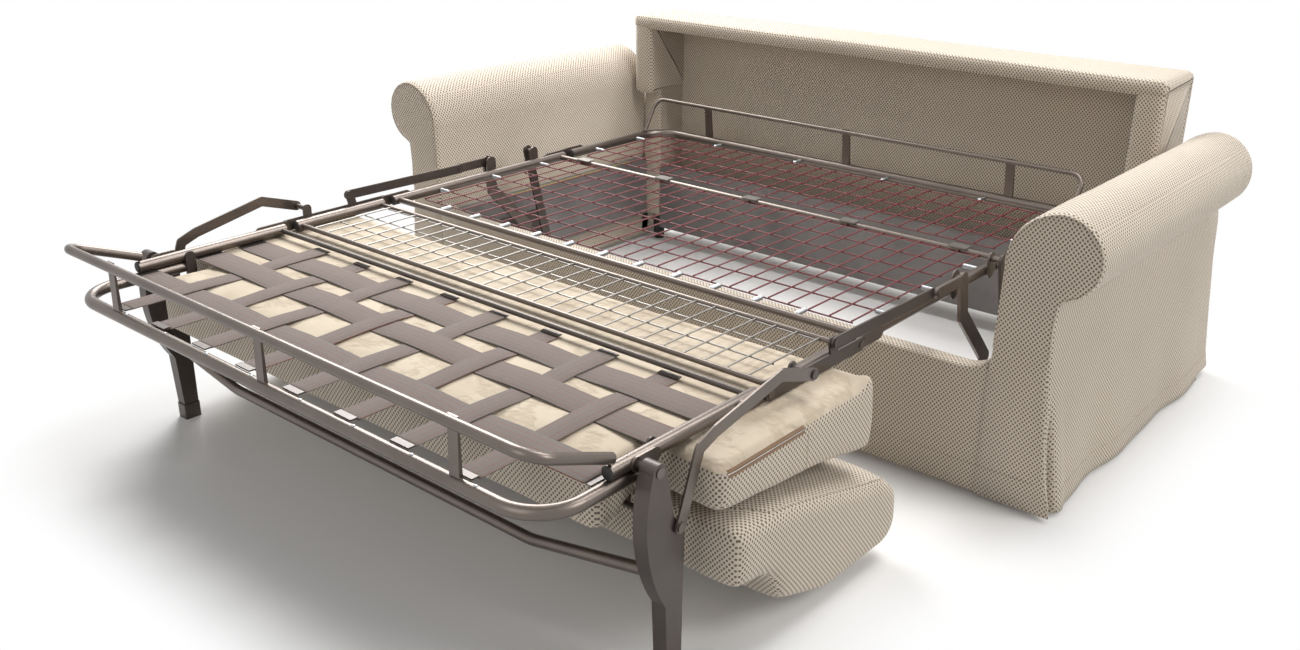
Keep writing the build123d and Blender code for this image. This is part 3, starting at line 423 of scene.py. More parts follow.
@dataclass(frozen=True)
class LinedCloth(WovenCloth):
    """Basket weave whose upper face is a cream lining inside a border, with painted shade of folds on the
    lining.
    """

    lining: Colour = (0.63, 0.54, 0.42)
    # Darker lining tone, used for the painted shade of folds and for the twill lines.
    shade: Colour = (0.45, 0.36, 0.26)
    rear_y: float = -0.335
    half_width: float = 0.822
    low_z: float = 0.37
    least_up: float = 0.45
    twill_turn: float = 2400.0

    def make(self) -> bpy.types.Material:
        """The finished cloth with its lining."""
        sheet = ShaderSheet(self.name)
        colour, height = self.weave(sheet)
        x, y, z = sheet.place()
        up = sheet.facing()[2]
        inside = (up > self.least_up) * (z > self.low_z)
        inside = inside * (y < self.rear_y) * (abs(x) < self.half_width)
        # Painted shade: cloud blotches and crease lines darken the lining towards the shade tone, standing
        # in for the shade of folds; the twill lines are the weave's own pattern.
        cloud = sheet.speckle(5.0, 3.0, 0.6)
        fold = sheet.speckle(26.0, 2.0)
        twill = abs(((x + y) * self.twill_turn).sine())
        cream = sheet.mix(cloud.ease(0.35, 0.75) * 0.7, self.lining, self.shade)
        cream = sheet.mix(twill * 0.12, cream, self.shade)
        crease = (1.0 - abs(sheet.speckle(6.5, 4.0, 0.55) * 2.0 - 1.0)).ease(0.86, 1.0)
        cream = sheet.mix(crease * 0.55, cream, self.shade)
        both = sheet.mix(inside, colour, cream)
        relief = height * (1.0 - inside) + (fold * 1.4 + twill * 0.1 - crease * 2.2) * inside
        return sheet.finish(
            Base_Color=both,
            Roughness=0.88,
            Sheen_Weight=0.12,
            Sheen_Roughness=0.5,
            Normal=sheet.bump(relief, 0.0012, 0.8),
        )


@dataclass(frozen=True)
class SatinSteel:
    """Lacquered steel with a soft sheen and fine drawing marks."""

    name: str
    colour: Colour
    metallic: float = 0.85
    roughness: float = 0.3
    marks: float = 0.06

    def make(self) -> bpy.types.Material:
        """The finished steel."""
        sheet = ShaderSheet(self.name)
        cloud = sheet.speckle(9.0, 4.0, 0.6)
        grain = sheet.speckle(700.0, 2.0)
        tint = sheet.mix(cloud.ease(0.3, 0.75), self.colour, shaded(self.colour, 0.82))
        tint = sheet.mix(grain.ease(0.45, 0.8) * 0.25, tint, shaded(self.colour, 1.25))
        rough = self.roughness + cloud * (2.0 * self.marks) + grain * self.marks
        return sheet.finish(
            Base_Color=tint,
            Metallic=self.metallic,
            Roughness=rough,
            Coat_Weight=0.15,
            Coat_Roughness=0.2,
            Normal=sheet.bump(grain, 0.0001, 0.4),
        )


@dataclass(frozen=True)
class RibbedWebbing:
    """Elastic webbing with fine ribs and thin reddish lines along it."""

    name: str
    along_y: bool
    dark: Colour = (0.105, 0.078, 0.068)
    light: Colour = (0.2, 0.165, 0.145)
    line: Colour = (0.2, 0.075, 0.05)
    rib_turn: float = 1150.0
    weft_turn: float = 2200.0
    line_turn: float = 215.0

    def make(self) -> bpy.types.Material:
        """The finished webbing."""
        sheet = ShaderSheet(self.name)
        x, y, _ = sheet.place()
        across = x if self.along_y else y
        along = y if self.along_y else x
        ribs = abs((across * self.rib_turn).sine())
        weft = abs((along * self.weft_turn).sine())
        stripe = abs((across * self.line_turn).sine()).ease(0.955, 0.995)
        fibre = sheet.speckle(260.0, 3.0)
        base = sheet.mix(ribs * 0.6 + fibre * 0.35, self.dark, self.light)
        colour = sheet.mix(stripe * 0.75, base, self.line)
        return sheet.finish(
            Base_Color=colour,
            Roughness=0.8,
            Sheen_Weight=0.1,
            Normal=sheet.bump(ribs + weft * 0.4, 0.0006, 0.7),
        )


@dataclass(frozen=True)
class PaintedBoard:
    """Grey painted board with a narrow yellow-green tape along its upper edge."""

    name: str
    paint: Colour
    edge_z: float = 0.2945
    edge_x: float = 0.852
    edge_ends: Tuple[float, float] = (-0.08, 0.46)
    bare: Colour = (0.42, 0.40, 0.07)

    def make(self) -> bpy.types.Material:
        """The finished board."""
        sheet = ShaderSheet(self.name)
        x, y, z = sheet.place()
        cloud = sheet.speckle(6.0, 4.0, 0.6)
        grain = sheet.speckle(240.0, 2.0)
        coat = sheet.mix(cloud.ease(0.3, 0.75), self.paint, shaded(self.paint, 0.7))
        fibre = sheet.mix(grain * 0.6, self.bare, shaded(self.bare, 0.6))
        along = (y > bed(self.edge_ends[0])) * (y < bed(self.edge_ends[1]))
        colour = sheet.mix((z > self.edge_z) * (abs(x) < self.edge_x) * along, coat, fibre)
        return sheet.finish(
            Base_Color=colour,
            Roughness=0.55 + grain * 0.15,
            Normal=sheet.bump(grain, 0.0003, 0.5),
        )


@dataclass(frozen=True)
class MouldedPlastic:
    """Matt moulded plastic with a fine spark texture."""

    name: str
    colour: Colour

    def make(self) -> bpy.types.Material:
        """The finished plastic."""
        sheet = ShaderSheet(self.name)
        spark = sheet.speckle(900.0, 2.0)
        cloud = sheet.speckle(14.0, 2.0)
        tint = sheet.mix(cloud * 0.5, self.colour, shaded(self.colour, 0.7))
        return sheet.finish(
            Base_Color=tint,
            Roughness=0.5 + spark * 0.15,
            Normal=sheet.bump(spark, 0.0002, 0.5),
        )


@dataclass(frozen=True)
class Finishes:
    """Every material of the object, made once."""

    cloth: bpy.types.Material
    lined: bpy.types.Material
    bronze: bpy.types.Material
    dark: bpy.types.Material
    red: bpy.types.Material
    zinc: bpy.types.Material
    long_web: bpy.types.Material
    cross_web: bpy.types.Material
    board: bpy.types.Material
    plastic: bpy.types.Material
    zip_tape: bpy.types.Material
    spring: bpy.types.Material
    thread: bpy.types.Material

    @classmethod
    def make(cls) -> "Finishes":
        """Make them all."""
        thread = (0.68, 0.59, 0.485)
        fleck = (0.12, 0.096, 0.07)
        return cls(
            cloth=WovenCloth("basket_cloth", thread, fleck).make(),
            lined=LinedCloth("lined_cloth", thread, fleck).make(),
            bronze=SatinSteel("bronze_satin", (0.165, 0.136, 0.118), 0.85, 0.26).make(),
            dark=SatinSteel("dark_satin", (0.095, 0.077, 0.068), 0.6, 0.32).make(),
            red=SatinSteel("red_lacquer", (0.14, 0.018, 0.022), 0.0, 0.48).make(),
            zinc=SatinSteel("zinc_wire", (0.30, 0.285, 0.265), 0.95, 0.28).make(),
            long_web=RibbedWebbing("web_along", True).make(),
            cross_web=RibbedWebbing("web_across", False).make(),
            board=PaintedBoard("painted_board", (0.21, 0.195, 0.19)).make(),
            # A brighter copy of the zinc, standing in for the bright highlights on the springs and rivet
            # heads: a painted highlight.
            spring=SatinSteel("spring_zinc", (0.34, 0.35, 0.36), 0.95, 0.24).make(),
            plastic=MouldedPlastic("black_plastic", (0.025, 0.023, 0.022)).make(),
            zip_tape=RibbedWebbing("zip_tape", True, (0.16, 0.09, 0.05), (0.3, 0.19, 0.11)).make(),
            thread=SatinSteel("sewing_thread", (0.46, 0.38, 0.29), 0.0, 0.7).make(),
        )

    def welt_values(self) -> Dict[str, Any]:
        """Inputs for a sewn-in cord."""
        return {"Radius": WELT_RADIUS, "Finish": self.cloth}

    def stitch_values(self, spacing: float = STITCH_SPACING) -> Dict[str, Any]:
        """Inputs for a row of stitches."""
        return {"Spacing": spacing, "Thickness": STITCH_THICKNESS, "Finish": self.thread}


def new_object(name: str, mesh: bpy.types.Mesh, material: bpy.types.Material) -> bpy.types.Object:
    """Put a mesh in the scene with one material.

    Args:
        name: Piece name.
        mesh: The mesh.
        material: Its finish.

    Returns:
        The new object.
    """
    piece = bpy.data.objects.new(name, mesh)
    bpy.context.scene.collection.objects.link(piece)
    if not mesh.materials:
        mesh.materials.append(material)
    return piece


def settle(piece: bpy.types.Object, body: str, slot: str, *nodes: str) -> bpy.types.Object:
    """Attach a piece to the body that carries it and hide the CAD nodes that it stands for.

    Args:
        piece: The piece.
        body: Body that carries it.
        slot: Not used.
        *nodes: CAD nodes that it replaces.

    Returns:
        The same piece.
    """
    if nodes:
        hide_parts(*nodes)
    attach(piece, body)
    return piece


def mesh_from(work: bmesh.types.BMesh, name: str, shade: bool = True) -> bpy.types.Mesh:
    """Close a working mesh: merge doubles, face outwards and shade.

    Args:
        work: The working mesh, freed here.
        name: Mesh name.
        shade: Smooth shading.

    Returns:
        The plain mesh.
    """
    bmesh.ops.remove_doubles(work, verts=work.verts, dist=MERGE_DISTANCE)
    bmesh.ops.recalc_face_normals(work, faces=work.faces)
    mesh = bpy.data.meshes.new(name)
    work.to_mesh(mesh)
    work.free()
    for face in mesh.polygons:
        face.use_smooth = shade
    return mesh


def add_rows(work: bmesh.types.BMesh, rows: Sequence[Sequence[Point]]) -> None:
    """Skin closed loops of points in order, with both ends closed.

    Args:
        work: The working mesh.
        rows: Loops with the same count of points.
    """
    loops = [[work.verts.new(point) for point in row] for row in rows]
    for first, second in zip(loops, loops[1:]):
        count = len(first)
        for index in range(count):
            after = (index + 1) % count
            work.faces.new((first[index], first[after], second[after], second[index]))
    work.faces.new(loops[0])
    work.faces.new(list(reversed(loops[-1])))


def close_ends(work: bmesh.types.BMesh) -> None:
    """Cut every face of more than four corners into triangles.

    Args:
        work: The working mesh.
    """
    work.normal_update()
    ends = [face for face in work.faces if len(face.verts) > 4]
    bmesh.ops.triangulate(work, faces=ends, ngon_method="EAR_CLIP")


def arc_through(first: Flat, second: Flat, third: Flat, count: int) -> List[Flat]:
    """Points along the circular arc through three points.

    Args:
        first: Start of the arc.
        second: A point on it.
        third: End of the arc.
        count: Number of points.

    Returns:
        The points, ends included.
    """
    a, b, c = (complex(*point) for point in (first, second, third))
    ratio = (c - a) / (b - a)
    centre = a - (a - b) * (ratio - abs(ratio) ** 2) / (2j * ratio.imag)
    start = cmath.phase(a - centre)
    sweep = cmath.phase((c - centre) / (a - centre))
    radius = abs(a - centre)
    points = []
    for index in range(count):
        angle = start + sweep * index / (count - 1)
        points.append((centre.real + radius * math.cos(angle), centre.imag + radius * math.sin(angle)))
    return points


def inset_loop(loop: Sequence[Flat], distance: float) -> List[Flat]:
    """Move each point of an anticlockwise closed loop inwards along its own normal.

    Args:
        loop: Points of the loop.
        distance: How far.

    Returns:
        The inner loop.
    """
    if not distance:
        return list(loop)
    count = len(loop)
    inner = []
    for index, (u, v) in enumerate(loop):
        before = loop[index - 1]
        after = loop[(index + 1) % count]
        run = Vector((after[0] - before[0], after[1] - before[1]))
        if run.length:
            run.normalize()
        inner.append((u - run.y * distance, v + run.x * distance))
    return inner


def divide(points: Sequence[Flat], step: float) -> List[Flat]:
    """Points along a polyline about a step apart, its own corners kept.

    Args:
        points: Corners of the polyline.
        step: Largest spacing.

    Returns:
        The divided polyline.
    """
    divided = [points[0]]
    for start, end in zip(points, points[1:]):
        length = math.dist(start, end)
        pieces = max(1, math.ceil(length / step))
        for index in range(1, pieces + 1):
            share = index / pieces
            divided.append((start[0] + (end[0] - start[0]) * share, start[1] + (end[1] - start[1]) * share))
    return divided


def rounded_loop(points: Sequence[Flat], radius: float, step: float) -> List[Flat]:
    """Closed outline with its corners rounded and its sides divided.

    Args:
        points: Corners in anticlockwise order.
        radius: Largest corner radius.
        step: Spacing along the sides.

    Returns:
        Points of the closed loop.
    """
    count = len(points)
    loop: List[Flat] = []
    for index in range(count):
        here = Vector(points[index])
        before = Vector(points[index - 1])
        after = Vector(points[(index + 1) % count])
        back = before - here
        ahead = after - here
        reach = min(radius, 0.45 * back.length, 0.45 * ahead.length)
        start = here + back.normalized() * reach
        end = here + ahead.normalized() * reach
        for part in range(6):
            share = part / 5.0
            point = start * (1 - share) ** 2 + here * (2 * share * (1 - share)) + end * share ** 2
            loop.append((point.x, point.y))
    closed = divide(loop + [loop[0]], step)
    return closed[:-1]


class GeometrySheet:
    """A Geometry Nodes tree built in code, with named inputs."""

    def __init__(self, name: str, inputs: Sequence[Tuple[str, str]]) -> None:
        """Start a tree.

        Args:
            name: Tree name.
            inputs: Name and socket type of each input.
        """
        self.tree = bpy.data.node_groups.new(name, "GeometryNodeTree")
        self.names: Dict[str, str] = {}
        self.tree.interface.new_socket("Geometry", in_out="INPUT", socket_type="NodeSocketGeometry")
        for label, kind in inputs:
            item = self.tree.interface.new_socket(label, in_out="INPUT", socket_type=kind)
            self.names[label] = item.identifier
        self.tree.interface.new_socket("Geometry", in_out="OUTPUT", socket_type="NodeSocketGeometry")
        self.entry = self.tree.nodes.new("NodeGroupInput")
        self.exit = self.tree.nodes.new("NodeGroupOutput")

    def given(self, label: str) -> bpy.types.NodeSocket:
        """The tree's own input of that name."""
        return self.entry.outputs[label]

    def node(
        self,
        kind: str,
        settings: Optional[Dict[str, Any]] = None,
        inputs: Optional[Dict[Union[str, int], Any]] = None,
        output: Union[str, int] = 0,
    ) -> bpy.types.NodeSocket:
        """Add a node.

        Args:
            kind: Blender's node type.
            settings: Properties that are set first.
            inputs: Values or sockets by name or number; a list links several.
            output: The output to return.

        Returns:
            The chosen output socket.
        """
        made = self.tree.nodes.new(kind)
        for key, value in (settings or {}).items():
            setattr(made, key, value)
        for key, value in (inputs or {}).items():
            socket = made.inputs[key]
            for part in value if isinstance(value, list) else [value]:
                if isinstance(part, bpy.types.NodeSocket):
                    self.tree.links.new(part, socket)
                else:
                    socket.default_value = part
        return made.outputs[output]

    def tube(self, line: bpy.types.NodeSocket, radius: str) -> bpy.types.NodeSocket:
        """Round tube with closed ends along a curve.

        Args:
            line: The curve.
            radius: Input that gives the tube's radius.

        Returns:
            The tube.
        """
        size = {"Resolution": RING_CORNERS, "Radius": self.given(radius)}
        ring = self.node("GeometryNodeCurvePrimitiveCircle", None, size)
        sweep = {"Curve": line, "Profile Curve": ring, "Fill Caps": True}
        return self.node("GeometryNodeCurveToMesh", None, sweep)

    def close(self, geometry: bpy.types.NodeSocket) -> None:
        """Realize, set the material and end the tree.

        Args:
            geometry: What the tree has made.
        """
        solid = self.node("GeometryNodeRealizeInstances", None, {0: geometry})
        dressed = self.node(
            "GeometryNodeSetMaterial", None, {"Geometry": solid, "Material": self.given("Finish")}
        )
        self.tree.links.new(dressed, self.exit.inputs[0])

    def grow(self, name: str, source: bpy.types.Mesh, values: Dict[str, Any]) -> bpy.types.Object:
        """Run the tree on a mesh and keep the result as a plain mesh.

        Args:
            name: Piece name.
            source: Mesh that the tree reads.
            values: Values of the named inputs.

        Returns:
            The plain piece.
        """
        carrier = bpy.data.objects.new(name + "_tree", source)
        bpy.context.scene.collection.objects.link(carrier)
        modifier = carrier.modifiers.new("tree", "NODES")
        modifier.node_group = self.tree
        for label, value in values.items():
            modifier[self.names[label]] = value
        bpy.context.view_layer.update()
        graph = bpy.context.evaluated_depsgraph_get()
        mesh = bpy.data.meshes.new_from_object(carrier.evaluated_get(graph))
        mesh.name = name
        bpy.data.objects.remove(carrier)
        return new_object(name, mesh, values["Finish"])


def point_mesh(name: str, points: Sequence[Point], joined: bool = False) -> bpy.types.Mesh:
    """Mesh of bare points, or of one open line through them.

    Args:
        name: Mesh name.
        points: The points in order.
        joined: Join them by edges.

    Returns:
        The mesh.
    """
    mesh = bpy.data.meshes.new(name)
    edges = [(index, index + 1) for index in range(len(points) - 1)] if joined else []
    mesh.from_pydata(list(points), edges, [])
    return mesh


class WireNetTree(GeometrySheet):
    """Welded net: round wires one way on top of round wires the other way."""

    def __init__(self) -> None:
        """Build the tree."""
        super().__init__(
            "wire_net",
            [
                ("Width", "NodeSocketFloat"),
                ("Length", "NodeSocketFloat"),
                ("Cells Across", "NodeSocketInt"),
                ("Cells Along", "NodeSocketInt"),
                ("Wire Radius", "NodeSocketFloat"),
                ("Finish", "NodeSocketMaterial"),
            ],
        )
        runs = [self._run("Width", "Length", "Cells Across", 0, 1, 1.0)]
        runs.append(self._run("Length", "Width", "Cells Along", 1, 0, -1.0))
        both = self.node("GeometryNodeJoinGeometry", None, {0: runs})
        placed = self.node(
            "GeometryNodeInstanceOnPoints", None, {"Points": self.given("Geometry"), "Instance": both}
        )
        self.close(placed)

    def _vector(self, axis: int, value: bpy.types.NodeSocket, lift: Any) -> bpy.types.NodeSocket:
        """Vector with one value along an axis and a lift along Z."""
        return self.node("ShaderNodeCombineXYZ", None, {axis: value, 2: lift})

    def _scaled(self, value: bpy.types.NodeSocket, factor: Any, operation: str) -> bpy.types.NodeSocket:
        """A Math node on one value."""
        return self.node("ShaderNodeMath", {"operation": operation}, {0: value, 1: factor})

    def _run(
        self, spread: str, reach: str, cells: str, spread_axis: int, reach_axis: int, level: float
    ) -> bpy.types.NodeSocket:
        """One family of parallel wires.

        Args:
            spread: Input across which the wires are set out.
            reach: Input along which each wire runs.
            cells: Input that counts the cells.
            spread_axis: Axis of the spread.
            reach_axis: Axis of the reach.
            level: +1 for the upper family, -1 for the lower.

        Returns:
            The wires.
        """
        half_reach = self._scaled(self.given(reach), 0.5, "MULTIPLY")
        lift = self._scaled(self.given("Wire Radius"), level, "MULTIPLY")
        low = self._vector(reach_axis, self._scaled(half_reach, -1.0, "MULTIPLY"), lift)
        high = self._vector(reach_axis, half_reach, lift)
        wire = self.node("GeometryNodeCurvePrimitiveLine", None, {"Start": low, "End": high})
        tube = self.tube(wire, "Wire Radius")
        inner = self._scaled(
            self.given(spread), self._scaled(self.given("Wire Radius"), 2.0, "MULTIPLY"), "SUBTRACT"
        )
        start = self._vector(spread_axis, self._scaled(inner, -0.5, "MULTIPLY"), 0.0)
        step = self._vector(spread_axis, self._scaled(inner, self.given(cells), "DIVIDE"), 0.0)
        count = self._scaled(self.given(cells), 1.0, "ADD")
        line = self.node(
            "GeometryNodeMeshLine", None, {"Count": count, "Start Location": start, "Offset": step}
        )
        return self.node("GeometryNodeInstanceOnPoints", None, {"Points": line, "Instance": tube})


class RivetTree(GeometrySheet):
    """Low domed heads on given points."""

    def __init__(self) -> None:
        """Build the tree."""
        super().__init__(
            "rivet_heads",
            [
                ("Radius", "NodeSocketFloat"),
                ("Flatten", "NodeSocketVector"),
                ("Finish", "NodeSocketMaterial"),
            ],
        )
        dome = self.node(
            "GeometryNodeMeshUVSphere", None, {"Segments": 14, "Rings": 8, "Radius": self.given("Radius")}
        )
        smooth = self.node("GeometryNodeSetShadeSmooth", None, {0: dome})
        placed = self.node(
            "GeometryNodeInstanceOnPoints",
            None,
            {"Points": self.given("Geometry"), "Instance": smooth, "Scale": self.given("Flatten")},
        )
        self.close(placed)


class WeltTree(GeometrySheet):
    """A thin cord sewn in along an open line."""

    def __init__(self) -> None:
        """Build the tree."""
        super().__init__("welt_cord", [("Radius", "NodeSocketFloat"), ("Finish", "NodeSocketMaterial")])
        line = self.node("GeometryNodeMeshToCurve", None, {0: self.given("Geometry")})
        self.close(self.node("GeometryNodeSetShadeSmooth", None, {0: self.tube(line, "Radius")}))


class StitchTree(GeometrySheet):
    """A row of short stitches along an open line."""

    def __init__(self) -> None:
        """Build the tree."""
        super().__init__(
            "stitch_row",
            [
                ("Spacing", "NodeSocketFloat"),
                ("Thickness", "NodeSocketFloat"),
                ("Finish", "NodeSocketMaterial"),
            ],
        )
        line = self.node("GeometryNodeMeshToCurve", None, {0: self.given("Geometry")})
        marks = self.node(
            "GeometryNodeCurveToPoints",
            {"mode": "LENGTH"},
            {"Curve": line, "Length": self.given("Spacing")},
        )
        turn = marks.node.outputs["Rotation"]
        stitch = self.node(
            "GeometryNodeMeshIcoSphere", None, {"Radius": self.given("Thickness"), "Subdivisions": 1}
        )
        placed = self.node(
            "GeometryNodeInstanceOnPoints",
            None,
            {"Points": marks, "Instance": stitch, "Rotation": turn, "Scale": (0.8, 0.8, 3.2)},
        )
        self.close(placed)


@dataclass
class ScrollArm:
    """One upholstered arm: a scroll roll over a wall that flares to the hem."""

    side: Side
    inner_x: float = 0.868
    wall_x: float = 0.985
    roll_r: float = 0.090
    roll_z: float = 0.572
    hem_z: float = 0.010
    panel_z: float = 0.295
    front: float = -0.345
    roll_rear: float = 0.580
    tail_rear: float = 0.668
    edge: float = 0.013
    dish: float = 0.009
    fine_step: float = 0.005
    fine_length: float = 0.1
    wide_step: float = 0.02
    roll_arc: Flat = (-72.0, 90.0)
    welt_z: float = 0.34
    wave_depth: float = 0.005
    pleat_depth: float = 0.026
    kick_depth: float = 0.008
    side_slack: float = 0.003
    top_slack: float = 0.0025
    stitch_z: float = 0.058
    stitch_gaps: Flat = (0.045, 0.015)
    shoulder: Flat = (0.876, 0.530)
    shoulder_curve: Flat = (0.909, 0.626)
    wall_line: Tuple[Flat, ...] = (
        (1.033, 0.010),
        (1.024, 0.080),
        (1.010, 0.200),
        (1.000, 0.320),
        (0.995, 0.420),
        (0.998, 0.478),
    )

    def outline(self) -> List[Flat]:
        """Front view of the right-hand arm, anticlockwise seen from the front."""
        top = (self.wall_x, self.roll_z + self.roll_r)
        points = divide(self.wall_line, 0.02)
        for degrees in spaced(*self.roll_arc, 20):
            angle = math.radians(degrees)
            u = self.wall_x + self.roll_r * math.cos(angle)
            v = self.roll_z + self.roll_r * math.sin(angle)
            points.append((u, v))
        points += arc_through(top, self.shoulder_curve, self.shoulder, 14)[1:]
        hem = (self.inner_x, self.hem_z)
        points += divide([self.shoulder, (self.inner_x, self.panel_z), hem], 0.02)[1:]
        points += divide([hem, self.wall_line[0]], 0.03)[1:-1]
        return points

    def tail_outline(self) -> List[Flat]:
        """Front view of the lower part behind the roll."""
        top = self.roll_z - self.roll_r - 0.002
        corners = [(self.inner_x, self.hem_z), *self.wall_line[:-1]]
        corners += [(self.wall_x, top), (self.inner_x, top)]
        return rounded_loop(corners, 0.02, 0.02)

    def wall_at(self, height: float) -> float:
        """X of the outer wall at a height.

        Args:
            height: The height.

        Returns:
            The wall's X.
        """
        for (x_low, z_low), (x_high, z_high) in zip(self.wall_line, self.wall_line[1:]):
            if height <= z_high:
                return x_low + (x_high - x_low) * (height - z_low) / (z_high - z_low)
        return self.wall_line[-1][0]

    def edge_share(self, u: float, v: float) -> float:
        """How much of the edge rounding a point of the outline takes.

        Args:
            u: X of the point.
            v: Its height.

        Returns:
            The share, from 0 to 1.
        """
        if u < self.inner_x + 0.02:
            return smooth_step(v, self.panel_z, self.panel_z + 0.05)
        return smooth_step(v, 0.02, 0.10)

    def drape(self, point: Point) -> Point:
        """Waves of the skirt, the kick pleat at the front corner and slack on the roll.

        Args:
            point: Point on the right-hand arm.

        Returns:
            The moved point.
        """
        x, y, z = point
        ahead = y - bed(self.front)
        low = 1.0 - smooth_step(z, 0.03, 0.36)
        outside = smooth_step(x, self.wall_x - 0.03, self.wall_x + 0.005)
        wave = math.sin(y * 15.0 + 0.6) + 0.5 * math.sin(y * 29.0 + 2.0)
        pleat = math.exp(-(((ahead - 0.022) / 0.008) ** 2)) * (1.0 - smooth_step(z, 0.10, 0.31))
        kick = math.exp(-(((ahead - 0.055) / 0.022) ** 2)) * low
        x += outside * (self.wave_depth * low * wave - self.pleat_depth * pleat + self.kick_depth * kick)
        slack = noise.noise(Vector((x * 5.0, y * 5.0, z * 5.0)))
        high = smooth_step(z, 0.35, 0.5)
        return (x + self.side_slack * slack * outside, y, z + self.top_slack * slack * high)

    def _shell(self, work: bmesh.types.BMesh, loop: List[Flat], start: float, end: float) -> None:
        """Skin one length of the arm with rounded ends.

        Args:
            work: The working mesh.
            loop: Front view of the arm.
            start: Front station.
            end: Rear station.
        """
        edge = self.edge
        near = EDGE_SHARE * edge
        stations = [(start, edge + self.dish), (start, edge), (start + near, near)]
        place = start + edge
        while place < end - edge:
            stations.append((place, 0.0))
            place += self.fine_step if place < start + self.fine_length else self.wide_step
        stations += [(end - edge, 0.0), (end - near, near), (end, edge), (end, edge + self.dish)]
        rows = []
        for station, inset in stations:
            row = []
            for (u, v), (inner_u, inner_v) in zip(loop, inset_loop(loop, inset)):
                share = self.edge_share(u, v)
                flat = (u + (inner_u - u) * share, bed(station), v + (inner_v - v) * share)
                x, y, z = self.drape(flat)
                row.append((self.side.value * x, y, z))
            rows.append(row)
        add_rows(work, rows)

    def build(self, finishes: Finishes) -> bpy.types.Object:
        """Make the arm and let it stand for its CAD solid.

        Args:
            finishes: The object's materials.

        Returns:
            The arm.
        """
        name = "arm_" + self.side.label
        work = bmesh.new()
        self._shell(work, self.outline(), self.front, self.roll_rear)
        self._shell(work, self.tail_outline(), self.roll_rear - 0.03, self.tail_rear)
        close_ends(work)
        piece = new_object(name + "_cover", mesh_from(work, name), finishes.cloth)
        settle(piece, "sofa", "upholstery", name)
        return piece

    def trim(self, welt: WeltTree, stitches: StitchTree, finishes: Finishes) -> List[bpy.types.Object]:
        """Welt round the scroll's front face and stitches along the hem.

        Args:
            welt: Tree of sewn-in cords.
            stitches: Tree of stitches.
            finishes: The object's materials.

        Returns:
            The trim pieces.
        """
        loop = self.outline()
        inset = EDGE_SHARE * self.edge
        edge = []
        for (_, height), (u, v) in zip(loop, inset_loop(loop, inset)):
            if height > self.welt_z:
                x, y, z = self.drape((u, bed(self.front) + inset, v))
                edge.append((self.side.value * x, y, z))
        hem = []
        start = bed(self.front) + self.stitch_gaps[0]
        end = bed(self.tail_rear) - self.stitch_gaps[1]
        for place in spaced(start, end, 91):
            x, y, z = self.drape((self.wall_at(self.stitch_z), place, self.stitch_z))
            hem.append((self.side.value * (x + STITCH_LIFT), y, z))
        name = self.side.label
        pieces = [
            welt.grow("arm_welt_" + name, point_mesh("welt", edge, True), finishes.welt_values()),
            stitches.grow("arm_hem_" + name, point_mesh("hem", hem, True), finishes.stitch_values()),
        ]
        return [settle(piece, "sofa", "upholstery") for piece in pieces]


def soft_box(
    work: bmesh.types.BMesh,
    low: Point,
    high: Point,
    radius: float,
    step: float,
    move: Callable[[Point], Point],
    ends: bool = True,
) -> None:
    """Rounded box of fine quads, moved point by point.

    Args:
        work: The working mesh.
        low: Lowest corner.
        high: Highest corner.
        radius: Edge radius.
        step: Spacing along X.
        move: Change applied to each point.
        ends: Round the two ends along X.
    """
    corners = [(low[1], low[2]), (high[1], low[2]), (high[1], high[2]), (low[1], high[2])]
    loop = rounded_loop(corners, radius, 0.03)
    span = high[0] - low[0]
    count = max(2, int(span / step))
    rim = radius if ends else 0.0
    stations = [(x, 0.0) for x in spaced(low[0] + rim, high[0] - rim, count + 1)]
    if ends:
        near = EDGE_SHARE * radius
        stations = [(low[0], radius), (low[0] + near, near), *stations]
        stations += [(high[0] - near, near), (high[0], radius)]
    add_rows(work, [[move((x, y, z)) for y, z in inset_loop(loop, inset)] for x, inset in stations])


